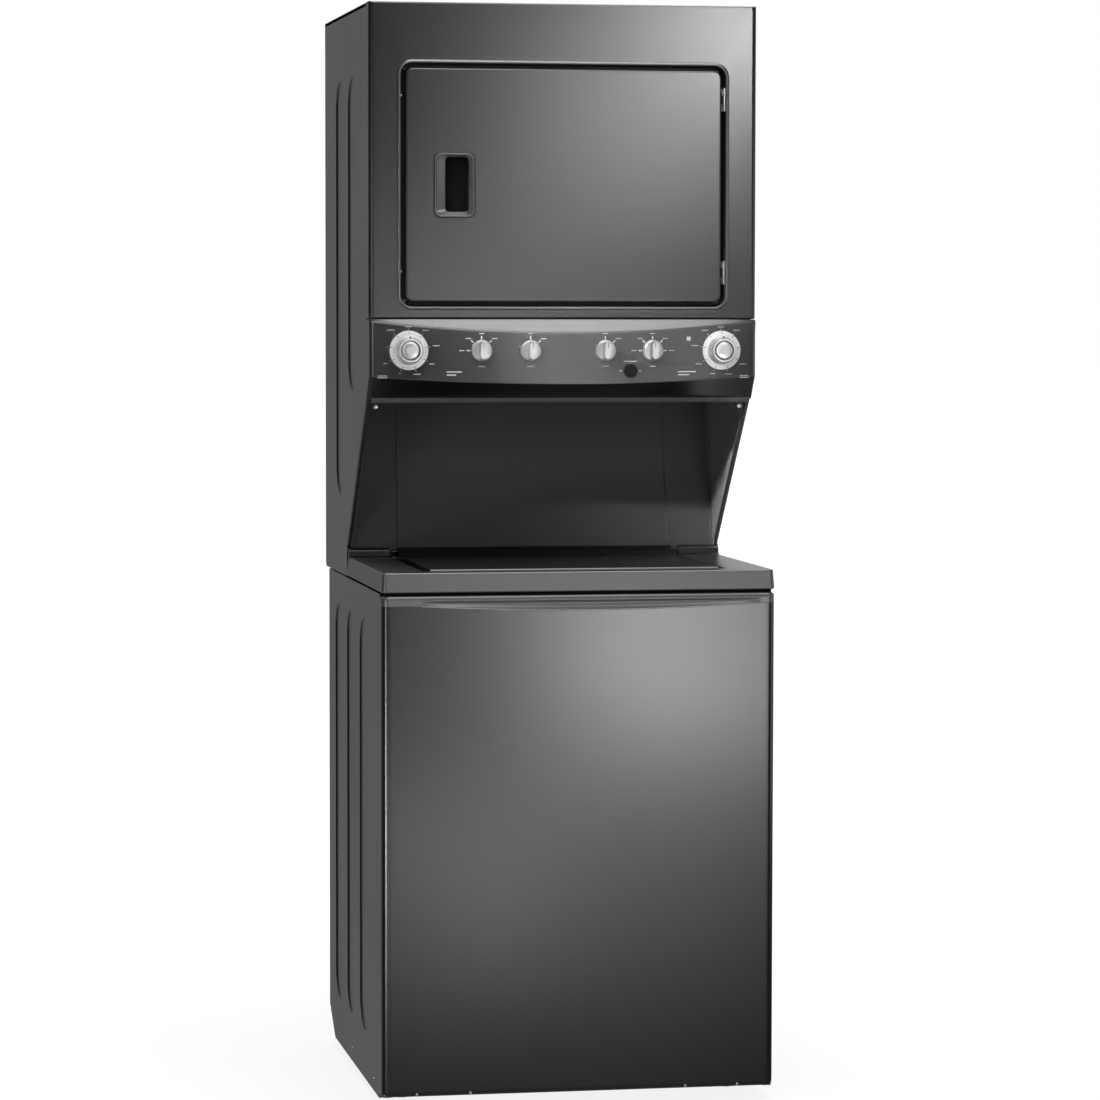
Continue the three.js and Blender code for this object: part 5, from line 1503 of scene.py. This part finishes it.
def door_inner():
    """The door's inside: flanged panel, dished plug, soft gasket and the strike."""
    b = cad("door_inner_panel")
    outer = cad("door_outer_panel")
    flat, deep, corner = outer.y1 + 1.4, b.y1, 14
    edge = (outer.x0 + 1, outer.x1 - 1, outer.z0 + 1, outer.z1 - 1)
    plug = (-184, 184, outer.z0 + 46.9, outer.z1 - 45.3)
    f = Form()
    flange = [(0, 1.6), (0.6, 2.3), (1.6, 2.6), (11, 2.6), (12.2, 2.2), (13.4, 0.4), (14.2, 0)]
    _, rim = f.skin([on_y(rounded(*edge, corner), outer.y1 + 0.4)]
                    + [on_y(inset_box(edge, i, corner), flat + d) for i, d in flange])
    dish = [(-5, flat, 63), (-2.5, flat + 0.4, 60.5), (-1.0, flat + 1.8, 59), (0, flat + 4, 58),
            (1.5, deep - 4, 56.5), (3, deep - 1.5, 55), (6, deep, 52), (30, deep, 34), (34, deep - 1.2, 30),
            (36, deep - 2.2, 28)]
    first, last = f.skin(nest(plug, dish, on_y, 12))
    f.face(last)
    f.fill(rim, first)
    place("door_inner_shell", f, ZINC, "dryer_door", ["door_inner_panel"], 0.7,
          (0, 1, 0), 40)

    gasket = Form()
    seal = (-214, 214, outer.z0 + 17, outer.z1 - 15)
    bead = [(0, 0), (0.4, 2.2), (2.6, 3.6), (5.6, 3.6), (7.6, 2.2), (8, 0)]
    gasket.skin(nest(seal, [(i, flat + 0.05 + d, 84 - i) for i, d in soften(bead, 0.8, 2)], on_y, 16))
    place("door_gasket", gasket, FELT, "dryer_door", sharp=60)
    strike = Form()
    strike.block(-263.0, -257.0, flat - 0.6, flat + 14.6, outer.cz - 7, outer.cz + 7, 1.0, 3)
    strike.block(-267.0, -253.0, flat - 0.2, flat + 1.4, outer.cz - 13, outer.cz + 13, 0.6, 2)
    place("door_strike", strike, HINGE, "dryer_door")


dryer_drum()
bulkhead_seal()
lint_screen()
exhaust_duct()
dryer_back()
door_inner()


# ---------------------------------------------------------------- screws and small parts
def casing_screws():
    """Screws along the washer's lower edge, in its sides and in the cheeks of the recess."""
    side, cheek = cad("washer_cabinet").x1, cad("recess_panel").x1
    f = Form()
    for x in (-283, -190, 187, 279):
        screw(f, (x, from_front(1.4), above(3.6)), (0, -1, 0), 2.6)
    for sign in (-1, 1):
        for back, up in ((111, 11), (395, 14)):
            screw(f, (sign * side, from_front(back), above(up)), (sign, 0, 0), 3.4)
        screw(f, (sign * (cheek - 9.5), from_front(206), above(1176.5)), (0, -1, 0))
    place("casing_screws", f, HINGE, BODY)


def corner_tabs():
    """Bright feet of the side flanges that show under the front panel's corners."""
    f = Form()
    for sign in (-1, 1):
        x0, x1 = sorted((sign * 326, sign * 340))
        f.block(x0, x1, from_front(3), from_front(5), above(-0.8), above(4.5), 0.5)
    place("corner_tabs", f, HINGE, BODY)


def door_gap_plugs():
    """Plugs in the free side of the door's recess, where the hinges go if the door is turned round."""
    door = cad("door_outer_panel")
    profile = [(POLE, door.x0 - 7.3), (2.4, door.x0 - 7.3), (2.4, door.x0 - 6.0), (POLE, door.x0 - 5.4)]
    f = Form()
    for up in (1412, 1715):
        f.lathe(soften(profile, 0.5, 3), (door.y0 + 7, above(up)), "x", 24)
    place("door_gap_plugs", f, SATIN, BODY)


casing_screws()
corner_tabs()
door_gap_plugs()


# ---------------------------------------------------------------- floor, light and camera
def floor_plane():
    """A pale floor just below the feet, which the object's own reflections don't see."""
    f = Form()
    reach = 60000
    f.face(f.ring(on_z([(-reach, -reach), (reach, -reach), (reach, reach), (-reach, reach)], -0.5)))
    bmesh.ops.scale(f.bm, vec=(MM, MM, MM), verts=f.bm.verts)
    mesh = bpy.data.meshes.new("floor")
    f.bm.to_mesh(mesh)
    f.bm.free()
    floor = bpy.data.objects.new("floor", mesh)
    bpy.context.scene.collection.objects.link(floor)
    pale = Surface("pale floor", (0.16, 0.16, 0.16), 0.0, 0.9)
    pale.vary_roughness(pale.noise(2, 2), 0.85, 0.95)
    far = pale.node("ShaderNodeVectorMath", Vector=pale.place)
    far.operation = "LENGTH"
    glow = pale.spread(far.outputs["Value"], 0.86, 1.0, 0.4, 2.2)
    pale.shader.inputs["Emission Color"].default_value = (1, 1, 1, 1)
    pale.tree.links.new(glow, pale.shader.inputs["Emission Strength"])
    mesh.materials.append(pale.material)
    floor.visible_glossy = False
    floor.visible_diffuse = False


def lamp(name, at, target, size, power, spread):
    light = bpy.data.lights.new(name, "AREA")
    light.shape = "RECTANGLE"
    light.size, light.size_y = size
    light.energy = power
    light.spread = math.radians(spread)
    holder = bpy.data.objects.new(name, light)
    holder.location = at
    holder.rotation_mode = "QUATERNION"
    holder.rotation_quaternion = (Vector(target) - Vector(at)).to_track_quat("-Z", "Y")
    holder.visible_camera = False
    bpy.context.scene.collection.objects.link(holder)


# What the glossy surfaces see of the room, as brightness in each direction.
ROOM = {"front": 0.012, "behind": 0.21, "ceiling": 0.3, "floor": 0.3, "window": 0.85}


def ramp(tree, value, start, end, low, high):
    node = tree.nodes.new("ShaderNodeMapRange")
    node.interpolation_type = "SMOOTHSTEP"
    tree.links.new(value, node.inputs["Value"])
    for socket, number in (("From Min", start), ("From Max", end), ("To Min", low), ("To Max", high)):
        node.inputs[socket].default_value = number
    return node.outputs["Result"]


def combined(tree, operation, a, b):
    node = tree.nodes.new("ShaderNodeMath")
    node.operation = operation
    tree.links.new(a, node.inputs[0])
    tree.links.new(b, node.inputs[1])
    return node.outputs[0]


def studio():
    """White to the eye. Reflections see a dim room: pale floor and ceiling, a window far behind."""
    world = bpy.data.worlds.new("studio")
    bpy.context.scene.world = world
    world.use_nodes = True
    tree = world.node_tree
    new, link = tree.nodes.new, tree.links.new
    tree.nodes.clear()
    out = new("ShaderNodeOutputWorld")
    seen, room = new("ShaderNodeBackground"), new("ShaderNodeBackground")
    seen.inputs["Color"].default_value = (1, 1, 1, 1)
    path, mix = new("ShaderNodeLightPath"), new("ShaderNodeMixShader")
    where, parts = new("ShaderNodeTexCoord"), new("ShaderNodeSeparateXYZ")
    link(where.outputs["Generated"], parts.inputs[0])
    x, y, z = parts.outputs
    walls = ramp(tree, y, 0.1, 0.7, ROOM["front"], ROOM["behind"])
    ceiling = ramp(tree, z, 0.35, 0.8, 0.0, ROOM["ceiling"])
    right_half = ramp(tree, x, 0.0, 0.17, 0.0, 1.0)
    window = combined(tree, "MULTIPLY", ramp(tree, y, 0.9, 0.975, 0.0, ROOM["window"]), right_half)
    floor = ramp(tree, z, -0.6, -0.25, ROOM["floor"], 0.0)
    shell = combined(tree, "ADD", combined(tree, "ADD", walls, ceiling), floor)
    total = combined(tree, "ADD", shell, window)
    link(total, room.inputs["Color"])
    link(path.outputs["Is Camera Ray"], mix.inputs["Fac"])
    link(room.outputs[0], mix.inputs[1])
    link(seen.outputs[0], mix.inputs[2])
    link(mix.outputs[0], out.inputs["Surface"])


def camera():
    cam = bpy.data.cameras.new("camera")
    cam.lens = 133.79
    cam.sensor_width = 36
    cam.clip_end = 100
    holder = bpy.data.objects.new("camera", cam)
    yaw, pitch, roll = (math.radians(v) for v in (10.339, 3.495, -0.09))
    ahead = Vector((math.sin(yaw) * math.cos(pitch), math.cos(yaw) * math.cos(pitch), -math.sin(pitch)))
    holder.location = (-1.3044, -7.2603, 1.3873)
    holder.rotation_mode = "QUATERNION"
    level = ahead.to_track_quat("-Z", "Y")
    holder.rotation_quaternion = Matrix.Rotation(roll, 4, ahead).to_quaternion() @ level
    bpy.context.scene.collection.objects.link(holder)
    bpy.context.scene.camera = holder


bpy.context.scene.view_settings.view_transform = "Standard"
floor_plane()
studio()
LAMPS = (
    # name, at, aimed at, size, watts, spread
    ("washer softbox", (0.7, -3.0, 0.62), (0.0, -0.4, 0.5), (0.55, 0.55), 6.5, 180),
    ("washer edge", (1.2, -3.0, 0.5), (0.0, -0.4, 0.5), (0.5, 0.5), 0.7, 180),
    ("washer low fill", (0.2, -3.0, 0.05), (0.0, -0.4, 0.05), (0.5, 0.5), 1.5, 180),
    ("washer low edge", (0.7, -3.0, 0.05), (0.0, -0.4, 0.05), (0.5, 0.5), 0.7, 180),
    ("left low fill", (-0.8, -3.0, 0.05), (0.0, -0.4, 0.05), (0.5, 0.5), 2.5, 180),
    ("door fill", (0.2, -3.0, 1.3), (0.0, -0.4, 1.3), (0.5, 0.5), 1.5, 180),
    ("door edge", (1.7, -3.0, 1.3), (0.0, -0.4, 1.3), (0.5, 0.5), 1.6, 180),
    ("dryer softbox", (0.95, -2.6, 2.1), (0.1, -0.24, 1.85), (0.38, 0.38), 0.28, 30),
    ("dryer fill", (0.7, -3.0, 1.8), (0.0, -0.24, 1.75), (0.5, 0.5), 0.17, 40),
    ("left bounce", (-2.6, -3.0, 0.05), (0.0, -0.4, 0.05), (0.6, 0.6), 26, 180),
    ("left fill", (-2.6, -3.0, 1.3), (0.0, -0.4, 1.3), (0.6, 0.9), 6, 180),
    ("overhead", (0.2, -0.9, 3.9), (0, 0, 1.0), (2.2, 2.2), 58, 180),
    ("overhead front", (0.2, -3.2, 3.9), (0, 0, 1.0), (2.2, 1.2), 14, 180),
    ("console spot", (-2.0, -2.2, 2.6), (0, -0.28, 1.37), (0.3, 0.3), 0.75, 9),
    ("right card", (3.0, -0.7, 1.0), (0.3, -0.3, 0.9), (1.6, 1.8), 8, 180),
    ("rear", (0.0, 3.0, 4.6), (0, 0, 1.0), (3.0, 1.4), 60, 180),
)
for name, at, target, size, power, spread in LAMPS:
    lamp(name, at, target, size, power, spread)
camera()
